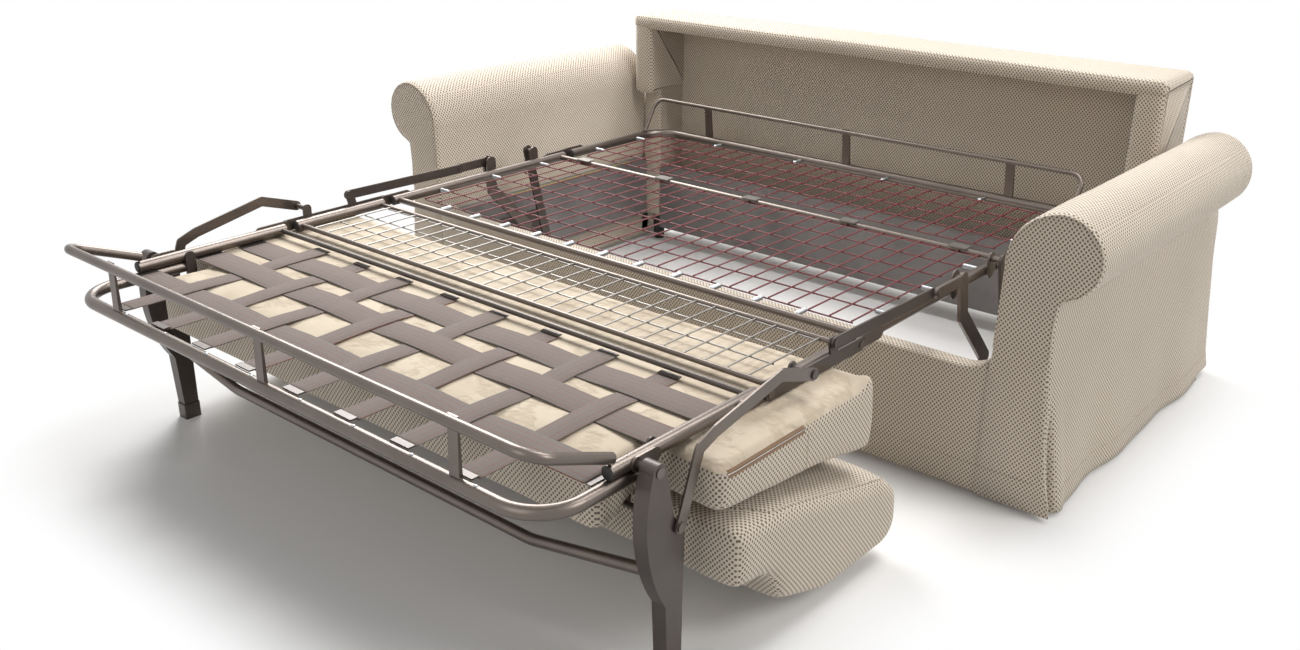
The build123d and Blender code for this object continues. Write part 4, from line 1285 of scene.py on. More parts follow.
@dataclass
class SofaBack:
    """Upholstered back: panel, top ledge, and a wing above each arm round a recess."""

    half: float = 0.866
    recess_half: float = 0.787
    wing_front: float = 0.500
    front: float = 0.550
    panel: float = 0.668
    rear: float = 0.702
    base_z: float = 0.095
    wing_z: float = 0.522
    ledge_z: float = 0.735
    top_z: float = 0.778
    edge: float = 0.018
    tight_edge: float = 0.012
    wide_step: float = 0.04
    fine_step: float = 0.03
    tuck: float = 0.004
    set_in: float = 0.002
    overlap: float = 0.03
    ledge_drop: float = 0.015
    welt_gap: float = 0.014

    @staticmethod
    def slack(point: Point) -> Point:
        """Small unevenness of stretched cloth.

        Args:
            point: Point on the cover.

        Returns:
            The moved point.
        """
        x, y, z = point
        lift = noise.noise(Vector((x * 3.0, y * 3.0, z * 3.0)))
        pull = noise.noise(Vector((x * 9.0, y * 4.0, z * 9.0)))
        return (x, y + 0.002 * lift + 0.001 * pull, z + 0.002 * lift)

    def build(self, finishes: Finishes) -> bpy.types.Object:
        """Make the back and let it stand for its CAD solid.

        Args:
            finishes: The object's materials.

        Returns:
            The back.
        """
        work = bmesh.new()
        wing, front, panel, rear = (bed(y) for y in (self.wing_front, self.front, self.panel, self.rear))
        inner = rear - self.tuck
        upper = self.top_z - self.ledge_drop
        low, high = (-self.half, wing, self.ledge_z), (self.half, rear, self.top_z)
        soft_box(work, low, high, self.edge, self.wide_step, self.slack)
        low, high = (-self.half, panel, self.base_z), (self.half, inner, upper)
        soft_box(work, low, high, self.tight_edge, self.wide_step, self.slack)
        for side in Side:
            sign = side.value
            xs = sorted((sign * self.recess_half, sign * (self.half - self.set_in)))
            low, high = (xs[0], wing + self.set_in, self.wing_z), (xs[1], inner, upper)
            soft_box(work, low, high, self.edge, self.fine_step, self.slack)
            xs = sorted((sign * (self.recess_half + self.set_in), sign * (self.half - self.tuck)))
            low, high = (xs[0], front, self.base_z), (xs[1], inner, self.wing_z + self.overlap)
            soft_box(work, low, high, self.tight_edge, self.fine_step, self.slack)
        close_ends(work)
        piece = new_object("back_cover", mesh_from(work, "back_cover"), finishes.cloth)
        settle(piece, "sofa", "upholstery", "back")
        return piece

    def trim(self, welt: WeltTree, finishes: Finishes) -> List[bpy.types.Object]:
        """Welts along the ledge.

        Args:
            welt: Tree of sewn-in cords.
            finishes: The object's materials.

        Returns:
            The trim pieces.
        """
        inset = EDGE_SHARE * self.edge
        front = bed(self.wing_front) + inset
        runs = (
            ("back_welt_top", self.top_z - inset, self.half - self.welt_gap),
            ("back_welt_low", self.ledge_z + inset, self.recess_half - self.welt_gap),
        )
        pieces = []
        for name, height, reach in runs:
            points = [self.slack((x, front, height)) for x in spaced(-reach, reach, 91)]
            pieces.append(welt.grow(name, point_mesh(name, points, True), finishes.welt_values()))
        return [settle(piece, "sofa", "upholstery") for piece in pieces]


@dataclass
class FrontPanel:
    """Upholstered front of the sofa with a skirt to the floor."""

    half: float = 0.868
    front: float = -0.345
    rear: float = -0.300
    hem_z: float = 0.010
    top_z: float = 0.296
    stitch_z: float = 0.078
    stitch_lift: float = 0.0004
    corner_rise: float = 0.024
    corner_reach: float = 0.06
    arm_reach: float = 0.125
    edge: float = 0.009
    step: float = 0.02

    def drape(self, point: Point) -> Point:
        """Skirt waves on the front face, and the rise of its upper edge beside the arms.

        Args:
            point: Point on the panel.

        Returns:
            The moved point.
        """
        x, y, z = point
        low = 1.0 - smooth_step(z, 0.02, 0.2)
        ahead = 1.0 - smooth_step(y, bed(self.front), bed(self.front) + 0.012)
        end = 1.0 - smooth_step(abs(x), self.half - 0.08, self.half)
        wave = math.sin(x * 9.0 + 0.4) + 0.5 * math.sin(x * 21.0)
        near_arm = max(0.0, abs(x) - self.half + self.corner_reach) / self.corner_reach
        rise = self.corner_rise * near_arm**2 * smooth_step(z, 0.2, self.top_z)
        return (x, y + ahead * end * 0.0025 * low * wave, z + rise)

    def build(self, finishes: Finishes) -> bpy.types.Object:
        """Make the front and let it stand for its board and cover.

        Args:
            finishes: The object's materials.

        Returns:
            The front panel.
        """
        work = bmesh.new()
        low = (-self.half, bed(self.front), self.hem_z)
        high = (self.half, bed(self.rear), self.top_z)
        soft_box(work, low, high, self.edge, self.step, self.drape, False)
        close_ends(work)
        piece = new_object("front_panel", mesh_from(work, "front_panel"), finishes.cloth)
        settle(piece, "sofa", "upholstery", "front_cover", "front_board")
        return piece

    def seam(self, stitches: StitchTree, finishes: Finishes) -> bpy.types.Object:
        """Sewn line that holds the skirt's hem, across the panel and both arm fronts.

        Args:
            stitches: Tree of stitches.
            finishes: The object's materials.

        Returns:
            The row of stitches.
        """
        points = []
        reach = self.half + self.arm_reach
        for x in spaced(-reach, reach, 141):
            y = bed(self.front)
            if abs(x) < self.half:
                y = self.drape((x, y, self.stitch_z))[1]
            points.append((x, y - self.stitch_lift, self.stitch_z))
        line = point_mesh("front_seam", points, True)
        piece = stitches.grow("front_seam", line, finishes.stitch_values())
        return settle(piece, "sofa", "upholstery")


@dataclass
class Cushion:
    """Padded cushion lofted across its width and swollen by a cloth simulation."""

    name: str
    node: str
    body: str
    outline: Sequence[Flat]
    half_width: float
    corner: float
    start_in: float
    cap: float
    floor: float
    ceiling: float
    nose: Sequence[Flat] = ()
    nose_half: float = 0.0
    lip: float = 0.0
    pressure: float = 4.0
    voxel: float = 0.012
    draw: float = 0.018
    stiffness: float = 25.0
    bending: float = 1.5
    frames: int = 20
    crease_depth: float = 0.002
    lip_x: Flat = (0.795, 0.825)
    lip_y: Flat = (-0.775, -0.735)
    lip_z: float = 0.36

    def block(self) -> bmesh.types.BMesh:
        """The cushion before swelling, with drawn-in ends."""
        work = bmesh.new()
        self._loft(work, self.outline, self.half_width, self.corner)
        if self.nose:
            self._loft(work, self.nose, self.nose_half, 0.5 * self.corner)
        close_ends(work)
        return work

    def _loft(self, work: bmesh.types.BMesh, outline: Sequence[Flat], half: float, corner: float) -> None:
        """Skin one outline across its width.

        Args:
            work: The working mesh.
            outline: Side view, as stations and heights.
            half: Half of the width.
            corner: Corner radius of the side view.
        """
        corners = [(bed(y), z) for y, z in outline]
        loop = inset_loop(rounded_loop(corners, corner, 0.02), self.start_in)
        wide = half - self.start_in
        stations = [(-wide, self.draw), (-wide + 0.3 * self.draw, 0.45 * self.draw)]
        count = int(2 * (wide - self.draw) / 0.03)
        for index in range(count + 1):
            stations.append((-wide + self.draw + 2 * (wide - self.draw) * index / count, 0.0))
        stations += [(wide - 0.3 * self.draw, 0.45 * self.draw), (wide, self.draw)]
        add_rows(work, [[(x, y, z) for y, z in inset_loop(loop, inset)] for x, inset in stations])

    def swell(self, piece: bpy.types.Object) -> None:
        """Remesh, simulate as pressured cloth, cap the movement and keep the result.

        Args:
            piece: The cushion.
        """
        remesh = piece.modifiers.new("remesh", "REMESH")
        remesh.mode = "VOXEL"
        remesh.voxel_size = self.voxel
        keep_modifiers(piece)
        before = [vertex.co.copy() for vertex in piece.data.vertices]
        cloth = piece.modifiers.new("cloth", "CLOTH")
        cloth.settings.use_pressure = True
        cloth.settings.uniform_pressure_force = self.pressure
        cloth.settings.quality = 4
        cloth.settings.tension_stiffness = self.stiffness
        cloth.settings.compression_stiffness = self.stiffness
        cloth.settings.bending_stiffness = self.bending
        cloth.settings.effector_weights.gravity = 0.0
        scene = bpy.context.scene
        for frame in range(1, self.frames + 1):
            scene.frame_set(frame)
        keep_modifiers(piece)
        scene.frame_set(1)
        for vertex, start in zip(piece.data.vertices, before):
            move = vertex.co - start
            if move.length > self.cap:
                move *= self.cap / move.length
            place = start + move
            crease = noise.noise(Vector((place.x * 4.0, place.y * 9.0, place.z * 9.0)))
            place.z += self.crease_depth * crease
            place.z = min(max(place.z, self.floor), self.ceiling)
            outer = smooth_step(abs(place.x), *self.lip_x) * smooth_step(place.z, self.lip_z, self.ceiling)
            place.z += self.lip * outer * smooth_step(place.y, bed(self.lip_y[0]), bed(self.lip_y[1]))
            vertex.co = place
        smooth = piece.modifiers.new("smooth", "SUBSURF")
        smooth.levels = 1
        smooth.render_levels = 1
        keep_modifiers(piece)
        for face in piece.data.polygons:
            face.use_smooth = True

    def build(self, material: bpy.types.Material) -> bpy.types.Object:
        """Make the cushion and let it stand for its CAD solid.

        Args:
            material: Its cloth.

        Returns:
            The cushion.
        """
        piece = new_object(self.name, mesh_from(self.block(), self.name), material)
        self.swell(piece)
        settle(piece, self.body, "upholstery", self.node)
        return piece


def keep_modifiers(piece: bpy.types.Object) -> None:
    """Keep the modifiers' result as the piece's own mesh.

    Args:
        piece: The piece.
    """
    graph = bpy.context.evaluated_depsgraph_get()
    mesh = bpy.data.meshes.new_from_object(piece.evaluated_get(graph))
    materials = list(piece.data.materials)
    piece.modifiers.clear()
    piece.data = mesh
    mesh.materials.clear()
    for material in materials:
        mesh.materials.append(material)


@dataclass
class CushionTrim:
    """Zips, seams and welts laid on the finished cushions."""

    zip_front: float = -1.170
    zip_rear: float = -0.955
    zip_z: float = 0.388
    zip_width: float = 0.013
    seam_y: float = -0.945
    seam_ends: Flat = (0.272, 0.387)
    welt_inset: float = 0.016
    welt_end_gap: float = 0.055
    welt_r: float = 0.0022
    welt_lift: float = 0.0004
    tape_out: float = 0.0016
    tape_in: float = 0.001
    tooth_pitch: float = 0.0045
    tooth_r: float = 0.0013
    tooth_lift: Flat = (0.0018, 0.0006)

    @staticmethod
    def beside(surface: BVHTree, side: Side, y: float, z: float) -> Optional[Vector]:
        """Point of the cushion's end face at a height, or nothing.

        Args:
            surface: The cushion's surface.
            side: Which end.
            y: Y in the part's frame.
            z: Height.

        Returns:
            The point.
        """
        return surface.ray_cast(Vector((side.value * 1.2, y, z)), Vector((-side.value, 0.0, 0.0)))[0]

    @staticmethod
    def above(surface: BVHTree, x: float, y: float) -> Optional[Vector]:
        """Point of the cushion's upper face, or nothing."""
        return surface.ray_cast(Vector((x, y, 0.6)), Vector((0.0, 0.0, -1.0)))[0]

    def line_on(
        self, surface: BVHTree, side: Side, places: Sequence[Flat], out: float, up: float
    ) -> List[Point]:
        """Line on the cushion's end face.

        Args:
            surface: The cushion's surface.
            side: Which end.
            places: Y and height of each point.
            out: Lift off the face.
            up: Lift along Z.

        Returns:
            The points that were found.
        """
        spots = [self.beside(surface, side, y, z) for y, z in places]
        return [(spot.x + side.value * out, spot.y, spot.z + up) for spot in spots if spot is not None]

    def zip_strip(self, surface: BVHTree, side: Side, finishes: Finishes) -> bpy.types.Object:
        """Woven zip tape along the upper edge of the seat cushion's end.

        Args:
            surface: The seat cushion's surface.
            side: Which end.
            finishes: The object's materials.

        Returns:
            The tape.
        """
        rows = []
        for station in spaced(self.zip_front, self.zip_rear, 41):
            y = bed(station)
            low = self.beside(surface, side, y, self.zip_z - self.zip_width)
            high = self.beside(surface, side, y, self.zip_z)
            if low is None or high is None:
                continue
            out = Vector((side.value, 0.0, 0.35)).normalized()
            outer, inner = out * self.tape_out, out * self.tape_in
            rows.append([low + outer, high + outer, high - inner, low - inner])
        work = bmesh.new()
        add_rows(work, [[tuple(point) for point in row] for row in rows])
        name = "zip_" + side.label
        return new_object(name, mesh_from(work, name, False), finishes.zip_tape)

    def build(
        self,
        seat: bpy.types.Object,
        pad: bpy.types.Object,
        welt: WeltTree,
        stitches: StitchTree,
        finishes: Finishes,
    ) -> List[bpy.types.Object]:
        """Make the trim of both cushions.

        Args:
            seat: Seat cushion.
            pad: Back cushion.
            welt: Tree of sewn-in cords.
            stitches: Tree of stitches.
            finishes: The object's materials.

        Returns:
            The trim pieces.
        """
        pieces = []
        seat_skin = skin_of(seat)
        pad_skin = skin_of(pad)
        cord = {"Radius": self.welt_r, "Finish": finishes.cloth}
        row = finishes.stitch_values(SEAM_SPACING)
        tooth = {"Spacing": self.tooth_pitch, "Thickness": self.tooth_r, "Finish": finishes.zinc}
        zip_middle = self.zip_z - 0.5 * self.zip_width
        zip_places = [(bed(station), zip_middle) for station in spaced(self.zip_front, self.zip_rear, 60)]
        seam_places = [(bed(self.seam_y), height) for height in spaced(*self.seam_ends, 16)]
        pad_low, pad_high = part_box("back_cushion")
        pad_front = pad_low[1] + self.welt_end_gap
        pad_rear = pad_high[1] - self.welt_end_gap
        pad_middle = 0.5 * (pad_low[2] + pad_high[2])
        for side in Side:
            name = side.label
            pieces.append((self.zip_strip(seat_skin, side, finishes), "foot"))
            teeth = self.line_on(seat_skin, side, zip_places, *self.tooth_lift)
            chain = stitches.grow("zip_teeth_" + name, point_mesh("teeth", teeth, True), tooth)
            pieces.append((chain, "foot"))
            seam = self.line_on(seat_skin, side, seam_places, STITCH_LIFT, 0.0)
            sewn = stitches.grow("seat_seam_" + name, point_mesh("seam", seam, True), row)
            pieces.append((sewn, "foot"))
            edge = []
            for y in spaced(pad_front, pad_rear, 61):
                end = self.beside(pad_skin, side, y, pad_middle)
                if end is None:
                    continue
                spot = self.above(pad_skin, end.x - side.value * self.welt_inset, y)
                if spot is not None:
                    edge.append((spot.x, spot.y, spot.z + self.welt_lift))
            edging = welt.grow("pad_welt_" + name, point_mesh("edge", edge, True), cord)
            pieces.append((edging, "back_cushion"))
        return [settle(piece, body, "upholstery") for piece, body in pieces]


def skin_of(piece: bpy.types.Object) -> BVHTree:
    """Surface of a piece that can be probed by rays.

    Args:
        piece: The piece, placed at the origin.

    Returns:
        The surface.
    """
    mesh = piece.data
    corners = [vertex.co for vertex in mesh.vertices]
    return BVHTree.FromPolygons(corners, [tuple(face.vertices) for face in mesh.polygons])


@dataclass
class BeltWeave:
    """Elastic belts of the foot section, woven over and under each other."""

    long_width: float = 0.052
    cross_width: float = 0.072
    pitch: float = 0.154
    count: int = 8
    cross_stations: Tuple[float, ...] = (-1.060, -1.172, -1.340)
    front: float = -1.468
    rear: float = -0.988
    half: float = 0.699
    middle_z: float = 0.40665
    rise: float = 0.0015
    thickness: float = 0.0023

    def long_places(self) -> List[float]:
        """X of each long belt."""
        return centred(self.count, self.pitch)

    def _strap(self, work: bmesh.types.BMesh, points: Sequence[Point], width: float, along_y: bool) -> None:
        """One strap of even width and thickness along points.

        Args:
            work: The working mesh.
            points: Middle line of the strap.
            width: Its width.
            along_y: Whether it runs along Y.
        """
        half, thick = width / 2, self.thickness / 2
        rows = []
        for x, y, z in points:
            row = []
            for u, v in STRAP_PROFILE:
                shift = u * half
                row.append((x + shift, y, z + v * thick) if along_y else (x, y + shift, z + v * thick))
            rows.append(row)
        add_rows(work, rows)

    def _levels(self, places: Sequence[float], first_up: bool) -> List[Tuple[float, float]]:
        """Place and level of each crossing."""
        up = 1 if first_up else -1
        return [(place, up * (-1) ** index * self.rise) for index, place in enumerate(places)]

    @staticmethod
    def _height(place: float, levels: Sequence[Tuple[float, float]]) -> float:
        """Level of a strap between its crossings.

        Args:
            place: Place along the strap.
            levels: Place and level of each crossing.

        Returns:
            The level.
        """
        ordered = sorted(levels)
        if place <= ordered[0][0]:
            return ordered[0][1]
        for (start, low), (end, high) in zip(ordered, ordered[1:]):
            if place <= end:
                return low + (high - low) * smooth_step(place, start + CROSSING_HALF, end - CROSSING_HALF)
        return ordered[-1][1]

    def build(self, finishes: Finishes) -> List[bpy.types.Object]:
        """Make both sets of belts.

        Args:
            finishes: The object's materials.

        Returns:
            Long belts and cross belts.
        """
        pieces = []
        stations = [bed(station) for station in self.cross_stations]
        work = bmesh.new()
        for index, x in enumerate(self.long_places()):
            levels = self._levels(stations, index % 2 == 0)
            points = []
            for y in spaced(bed(self.front), bed(self.rear), 61):
                points.append((x, y, self.middle_z + self._height(y, levels)))
            self._strap(work, points, self.long_width, True)
        flat = (self.count * self.long_width, self.rear - self.front)
        holders = ("foot_hinge_rod", "belt_hooks")
        pieces.append(self._piece("belts_along", work, finishes.long_web, "long_belts", flat, holders))
        work = bmesh.new()
        for index, y in enumerate(stations):
            levels = self._levels(self.long_places(), index % 2 == 1)
            points = []
            for x in spaced(-self.half, self.half, 141):
                points.append((x, y, self.middle_z + self._height(x, levels)))
            self._strap(work, points, self.cross_width, False)
        flat = (len(stations) * self.cross_width, 2 * self.half)
        holders = ("foot_rails",)
        pieces.append(self._piece("belts_across", work, finishes.cross_web, "cross_belts", flat, holders))
        return pieces

    @staticmethod
    def _piece(
        name: str,
        work: bmesh.types.BMesh,
        material: bpy.types.Material,
        node: str,
        flat: Tuple[float, float],
        rests_on: Sequence[str],
    ) -> bpy.types.Object:
        """Close one set of belts.

        Args:
            name: Name of the piece.
            work: Mesh of the straps.
            material: Webbing.
            node: CAD node that the belts stand for.
            flat: Not used.
            rests_on: Not used.

        Returns:
            The belts.
        """
        piece = new_object(name, mesh_from(work, name), material)
        settle(piece, "foot", "webbing", node)
        return piece


@dataclass
class WireNets:
    """The three welded wire nets."""

    wire: float = 0.0019
    cells_across: int = 26

    def build(self, finishes: Finishes) -> List[bpy.types.Object]:
        """Make each net in the place of its CAD sheet.

        Args:
            finishes: The object's materials.

        Returns:
            The nets.
        """
        tree = WireNetTree()
        pieces = []
        for body, along, finish, slot in (
            ("middle", 6, finishes.red, "red_mesh"),
            ("head", 4, finishes.red, "red_mesh"),
            ("spacer", 3, finishes.zinc, "grey_wire"),
        ):
            node = body + "_mesh"
            low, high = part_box(node)
            centre = tuple((low[axis] + high[axis]) / 2 for axis in range(3))
            piece = tree.grow(
                node + "_wires",
                point_mesh(node, [centre]),
                {
                    "Width": float(high[0] - low[0]),
                    "Length": float(high[1] - low[1]),
                    "Cells Across": self.cells_across,
                    "Cells Along": along,
                    "Wire Radius": self.wire,
                    "Finish": finish,
                },
            )
            pieces.append(settle(piece, body, slot, node))
        return pieces


@dataclass
class SpringCoils:
    """Close-wound springs of the wire nets, each in the place of its CAD coil."""

    turns: int = 11
    groove: float = 0.16
    corners: int = 12
    least_size: float = 0.012
    least_thickness: float = 0.010
    merge: float = 0.00002

    def boxes(self, solid: bpy.types.Object) -> List[Tuple[Vector, Vector]]:
        """Lowest and highest corner of every separate coil.

        Args:
            solid: The CAD solid with all coils of a net.

        Returns:
            The boxes.
        """
        work = bmesh.new()
        work.from_mesh(solid.data)
        bmesh.ops.remove_doubles(work, verts=work.verts[:], dist=self.merge)
        waiting = set(work.verts)
        found = []
        while waiting:
            front = [waiting.pop()]
            island = list(front)
            while front:
                vertex = front.pop()
                near = [edge.other_vert(vertex) for edge in vertex.link_edges]
                fresh = [other for other in near if other in waiting]
                waiting.difference_update(fresh)
                front += fresh
                island += fresh
            low = Vector([min(vertex.co[axis] for vertex in island) for axis in range(3)])
            high = Vector([max(vertex.co[axis] for vertex in island) for axis in range(3)])
            if max(high - low) > self.least_size:
                found.append((low, high))
        work.free()
        return found

    def _coil(self, work: bmesh.types.BMesh, low: Vector, high: Vector) -> None:
        """One close-wound spring that fills a box.

        Args:
            work: The working mesh.
            low: Lowest corner of the box.
            high: Highest corner of the box.
        """
        size = high - low
        centre = (low + high) / 2
        along_y = size.y > size.x
        length = size.y if along_y else size.x
        radius = 0.5 * max(size.z, self.least_thickness)
        rows = []
        count = 4 * self.turns
        for index in range(count + 1):
            share = index / count
            end = min(1.0, 8.0 * min(share, 1.0 - share) + 0.25)
            wave = 0.5 + 0.5 * math.cos(2.0 * math.pi * share * self.turns)
            thick = radius * end * (1.0 - self.groove * wave)
            row = []
            for corner in range(self.corners):
                angle = 2.0 * math.pi * corner / self.corners
                side = thick * math.cos(angle)
                up = thick * math.sin(angle)
                run = (share - 0.5) * length
                shift = Vector((side, run, up)) if along_y else Vector((run, -side, up))
                row.append(tuple(centre + shift))
            rows.append(row)
        add_rows(work, rows)

    def build(self, frame: Dict[str, Any], finishes: Finishes) -> List[bpy.types.Object]:
        """Make the springs of both sprung nets.

        Args:
            frame: The loaded frame.
            finishes: The object's materials.

        Returns:
            One piece for each net.
        """
        pieces = []
        for body in ("middle", "head"):
            node = body + "_springs"
            work = bmesh.new()
            for low, high in self.boxes(frame["nodes"][node]):
                self._coil(work, low, high)
            close_ends(work)
            # The springs take the brighter zinc copy, a painted highlight.
            piece = new_object(body + "_coils", mesh_from(work, body + "_coils"), finishes.spring)
            pieces.append(settle(piece, body, "grey_wire", node))
        return pieces


@dataclass
class SmallParts:
    """Rivet heads along the front tube and plugs in the open ends of the rails."""

    rail_x: float = 0.720
    bed_z: float = 0.420
    tube_r: float = 0.013
    front_tube: Flat = (-1.489, 0.394)
    rivet_pitch: float = 0.154
    rivet_shift: float = 0.04
    rivet_r: float = 0.0042
    rivets: int = 8
    plug_gap: float = 0.0004
    rail_ends: Tuple[Tuple[str, Tuple[float, ...]], ...] = (
        ("foot", (-1.345, -0.962)),
        ("spacer", (-0.928, -0.662)),
        ("middle", (-0.628, 0.018)),
        ("head", (0.052,)),
    )

    def build(self, heads: RivetTree, finishes: Finishes) -> List[bpy.types.Object]:
        """Make the rivets and plugs.

        Args:
            heads: Tree of domed heads.
            finishes: The object's materials.

        Returns:
            The pieces.
        """
        station, height = self.front_tube
        places = centred(self.rivets, self.rivet_pitch)
        points = [(x + self.rivet_shift, bed(station), height + self.tube_r) for x in places]
        # The rivet heads take the brighter zinc copy, a painted highlight.
        values = {"Radius": self.rivet_r, "Flatten": (1.0, 1.0, 0.45), "Finish": finishes.spring}
        rivets = heads.grow("tube_rivets", point_mesh("tube_rivets", points), values)
        pieces = [settle(rivets, "foot", "bronze_steel")]
        radius = self.tube_r - self.plug_gap
        values = {"Radius": radius, "Flatten": (1.0, 0.3, 1.0), "Finish": finishes.plastic}
        for body, stations in self.rail_ends:
            points = []
            for side in Side:
                points += [(side.value * self.rail_x, bed(place), self.bed_z) for place in stations]
            plugs = heads.grow("rail_plugs_" + body, point_mesh("rail_plugs", points), values)
            pieces.append(settle(plugs, body, "foot_plastic"))
        return pieces


@dataclass(frozen=True)
class Lamp:
    """Soft area lamp with its place, what it points at, its edge length and its watts."""

    name: str
    place: Point
    target: Point
    size: float
    power: float
    tint: Colour = (1.0, 0.995, 0.985)

    def add(self) -> None:
        """Put the lamp in the scene."""
        data = bpy.data.lights.new(self.name, "AREA")
        data.size = self.size
        data.energy = self.power
        data.color = self.tint
        lamp = bpy.data.objects.new(self.name, data)
        bpy.context.scene.collection.objects.link(lamp)
        place = Vector(self.place)
        aim = (Vector(self.target) - place).to_track_quat("-Z", "Y")
        lamp.matrix_world = Matrix.Translation(place) @ aim.to_matrix().to_4x4()


LAMPS = (
    Lamp("key", (-2.2, 1.1, 2.5), (-0.5, 0.2, 0.4), 2.0, 135.0),
    Lamp("top", (0.9, 0.9, 3.0), (-0.8, 0.4, 0.5), 1.6, 64.0),
    Lamp("side", (4.5, 1.2, 3.2), (0.2, 0.0, 0.4), 2.2, 100.0),
    Lamp("fill", (0.4, -4.2, 2.2), (0.0, -0.4, 0.3), 2.6, 32.0),
)


@dataclass
class Studio:
    """Camera, floor, lamps and world."""

    lens_px: float = 1220.4
    frame_px: float = 1300.0
    azimuth: float = 40.785
    pitch: float = 22.083
    roll: float = 0.243
    place: Point = (1.8498, -2.5555 + CROSSBAR_Y, 1.3382)
    floor_half: float = 30.0
    shadow_half: Flat = (0.85, 0.97)
    front_narrowing: float = 0.17
    shadow_fade: float = 0.14
    least_glow: float = 0.03
    world_light: float = 0.25

    def camera(self) -> None:
        """Set the camera of the photograph."""
        data = bpy.data.cameras.new("camera")
        data.sensor_width = 36.0
        data.lens = 36.0 * self.lens_px / self.frame_px
        data.clip_start = 0.05
        data.clip_end = 60.0
        turn, down, lean = (math.radians(value) for value in (self.azimuth, self.pitch, self.roll))
        right = Vector((math.cos(turn), math.sin(turn), 0.0))
        ahead = Vector((-math.sin(turn) * math.cos(down), math.cos(turn) * math.cos(down), -math.sin(down)))
        above = right.cross(ahead)
        right, above = (
            right * math.cos(lean) + above * math.sin(lean),
            above * math.cos(lean) - right * math.sin(lean),
        )
        matrix = Matrix((right, above, -ahead)).transposed().to_4x4()
        matrix.translation = Vector(self.place)
        camera = bpy.data.objects.new("camera", data)
        bpy.context.scene.collection.objects.link(camera)
        camera.matrix_world = matrix
        bpy.context.scene.camera = camera

    def floor(self) -> None:
        """Pale floor that keeps the shadow near the object and is white beyond it."""
        sheet = ShaderSheet("studio_floor")
        grain = sheet.speckle(30.0, 2.0)
        x, y, _ = sheet.place()
        colour = sheet.mix(grain * 0.1, (0.86, 0.855, 0.85), (0.84, 0.835, 0.83))
        matt = sheet.node("ShaderNodeBsdfDiffuse", None, {"Color": colour})
        glow = sheet.node("ShaderNodeEmission", None, {"Color": (1.0, 1.0, 1.0), "Strength": 1.0})
        front = (y * -1.0).ease(0.0, 0.5)
        wide = (abs(x) - self.shadow_half[0] + front * self.front_narrowing).greatest(0.0)
        deep = (abs(y) - self.shadow_half[1]).greatest(0.0)
        reach = (wide * wide + deep * deep).ease(0.0, self.shadow_fade)
        share = sheet.shown() * (self.least_glow + reach * (1.0 - self.least_glow))
        mixed = sheet.node("ShaderNodeMixShader", None, {0: share, 1: matt, 2: glow})
        sheet.node("ShaderNodeOutputMaterial", None, {"Surface": mixed})
        size = self.floor_half
        corners = [(-size, -size, 0), (size, -size, 0), (size, size, 0), (-size, size, 0)]
        mesh = bpy.data.meshes.new("floor")
        mesh.from_pydata(corners, [], [(0, 1, 2, 3)])
        new_object("floor", mesh, sheet.material)

    def world(self) -> None:
        """White to the camera and in reflections, plain level for light."""
        sheet = WorldSheet("studio")
        level = self.world_light + sheet.shown() * (1.0 - self.world_light)
        back = sheet.node("ShaderNodeBackground", None, {"Color": (1.0, 1.0, 1.0), "Strength": level})
        sheet.node("ShaderNodeOutputWorld", None, {"Surface": back})
        bpy.context.scene.world = sheet.world

    def build(self) -> None:
        """Set the whole studio."""
        bpy.context.scene.view_settings.view_transform = "Standard"
        self.camera()
        self.floor()
        self.world()
        for lamp in LAMPS:
            lamp.add()


FINISHED_NODES: Dict[str, Tuple[str, ...]] = {
    "bronze": (
        "middle_rails",
        "middle_plates",
        "middle_cross_rod",
        "crossbar",
        "head_tube",
        "head_plates",
        "head_rod",
        "head_brackets",
        "spacer_rails",
        "spacer_rods",
        "foot_rails",
        "foot_plates",
        "foot_tube",
        "foot_hoop",
        "hoop_brackets",
        "stretcher",
        "leg_links",
        "swing_arms",
    ),
    "zinc": (
        "crossbar_clips",
        "mount_bolts",
    ),
    "dark": (
        "spacer_plates",
        "foot_hinge_rod",
        "belt_hooks",
        "cushion_hangers",
        "cushion_hinge",
        "legs",
        "leg_caps",
        "drive_bars",
        "rear_links",
        "mount_plates",
    ),
    "board": (
        "side_boards",
        "rear_board",
    ),
    "plastic": (
        "sofa_feet",
    ),
}


def dress_solids(frame: Dict[str, Any], finishes: Finishes) -> None:
    """Give each CAD solid that stays its finish.

    Args:
        frame: The loaded frame.
        finishes: The object's materials.
    """
    for finish, nodes in FINISHED_NODES.items():
        for node in nodes:
            materials = frame["nodes"][node].data.materials
            materials.clear()
            materials.append(getattr(finishes, finish))


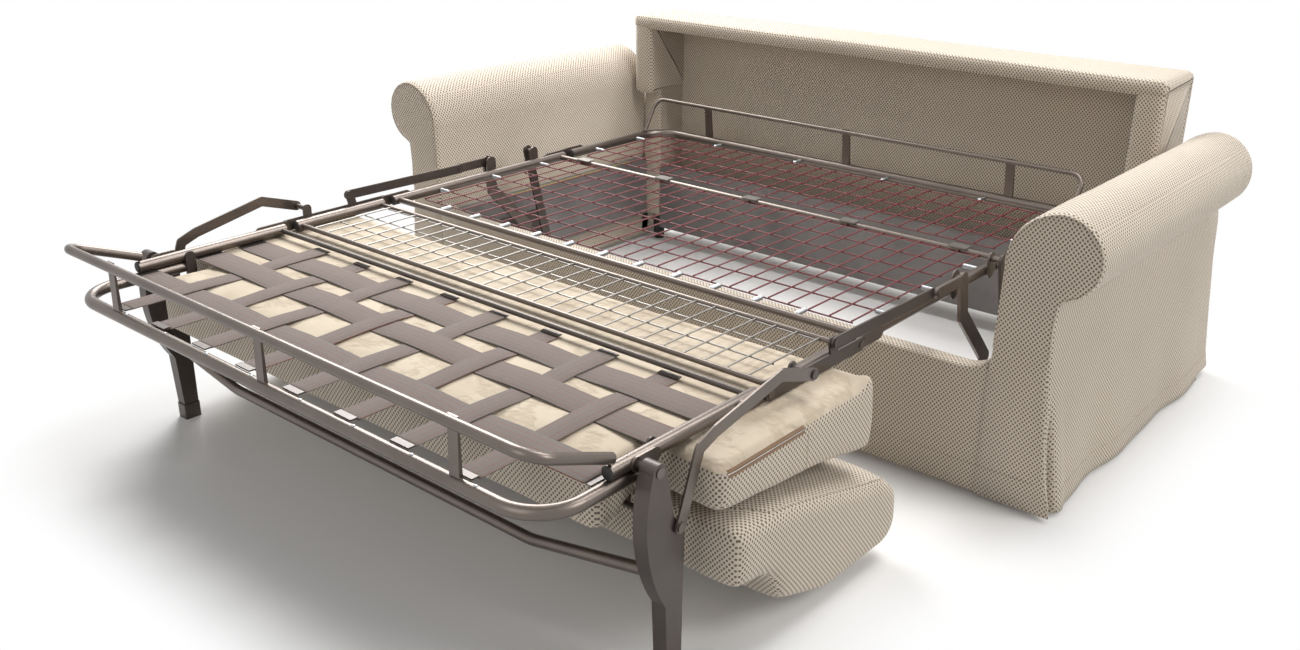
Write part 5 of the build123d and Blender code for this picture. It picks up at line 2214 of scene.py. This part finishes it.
SEAT = Cushion(
    name="seat_pad",
    node="seat_cushion",
    body="foot",
    outline=(
        (-1.195, 0.305),
        (-0.900, 0.275),
        (-0.712, 0.240),
        (-0.702, 0.315),
        (-0.712, 0.4037),
        (-1.195, 0.4037),
    ),
    half_width=0.838,
    corner=0.03,
    start_in=0.006,
    cap=0.008,
    floor=0.236,
    ceiling=0.4034,
    nose=(
        (-1.337, 0.272),
        (-1.266, 0.272),
        (-1.246, 0.308),
        (-1.150, 0.312),
        (-1.150, 0.403),
        (-1.337, 0.403),
    ),
    nose_half=0.684,
    lip=0.022,
)

BACK_PAD = Cushion(
    name="back_pad",
    node="back_cushion",
    body="back_cushion",
    outline=(
        (-1.190, 0.165),
        (-1.078, 0.150),
        (-1.045, 0.076),
        (-0.890, 0.024),
        (-0.670, 0.024),
        (-0.630, 0.064),
        (-0.636, 0.150),
        (-0.690, 0.190),
        (-1.000, 0.270),
        (-1.190, 0.292),
    ),
    half_width=0.866,
    corner=0.026,
    start_in=0.007,
    cap=0.008,
    floor=0.018,
    ceiling=0.296,
)


def main() -> None:
    """Build every piece in order."""
    logging.basicConfig(level=logging.INFO, format="%(name)s %(message)s")
    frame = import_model()
    Studio().build()
    finishes = Finishes.make()
    dress_solids(frame, finishes)
    stitches = StitchTree()
    welt = WeltTree()
    pieces = []
    for side in Side:
        arm = ScrollArm(side)
        pieces.append(arm.build(finishes))
        pieces += arm.trim(welt, stitches, finishes)
    back = SofaBack()
    pieces.append(back.build(finishes))
    pieces += back.trim(welt, finishes)
    panel = FrontPanel()
    pieces.append(panel.build(finishes))
    pieces.append(panel.seam(stitches, finishes))
    seat = SEAT.build(finishes.lined)
    pad = BACK_PAD.build(finishes.cloth)
    pieces += [seat, pad]
    pieces += CushionTrim().build(seat, pad, welt, stitches, finishes)
    pieces += SpringCoils().build(frame, finishes)
    pieces += SmallParts().build(RivetTree(), finishes)
    pieces += BeltWeave().build(finishes)
    pieces += WireNets().build(finishes)
    for piece in pieces:
        LOG.info("made %s with %d faces", piece.name, len(piece.data.polygons))


if __name__ == "__main__":
    main()
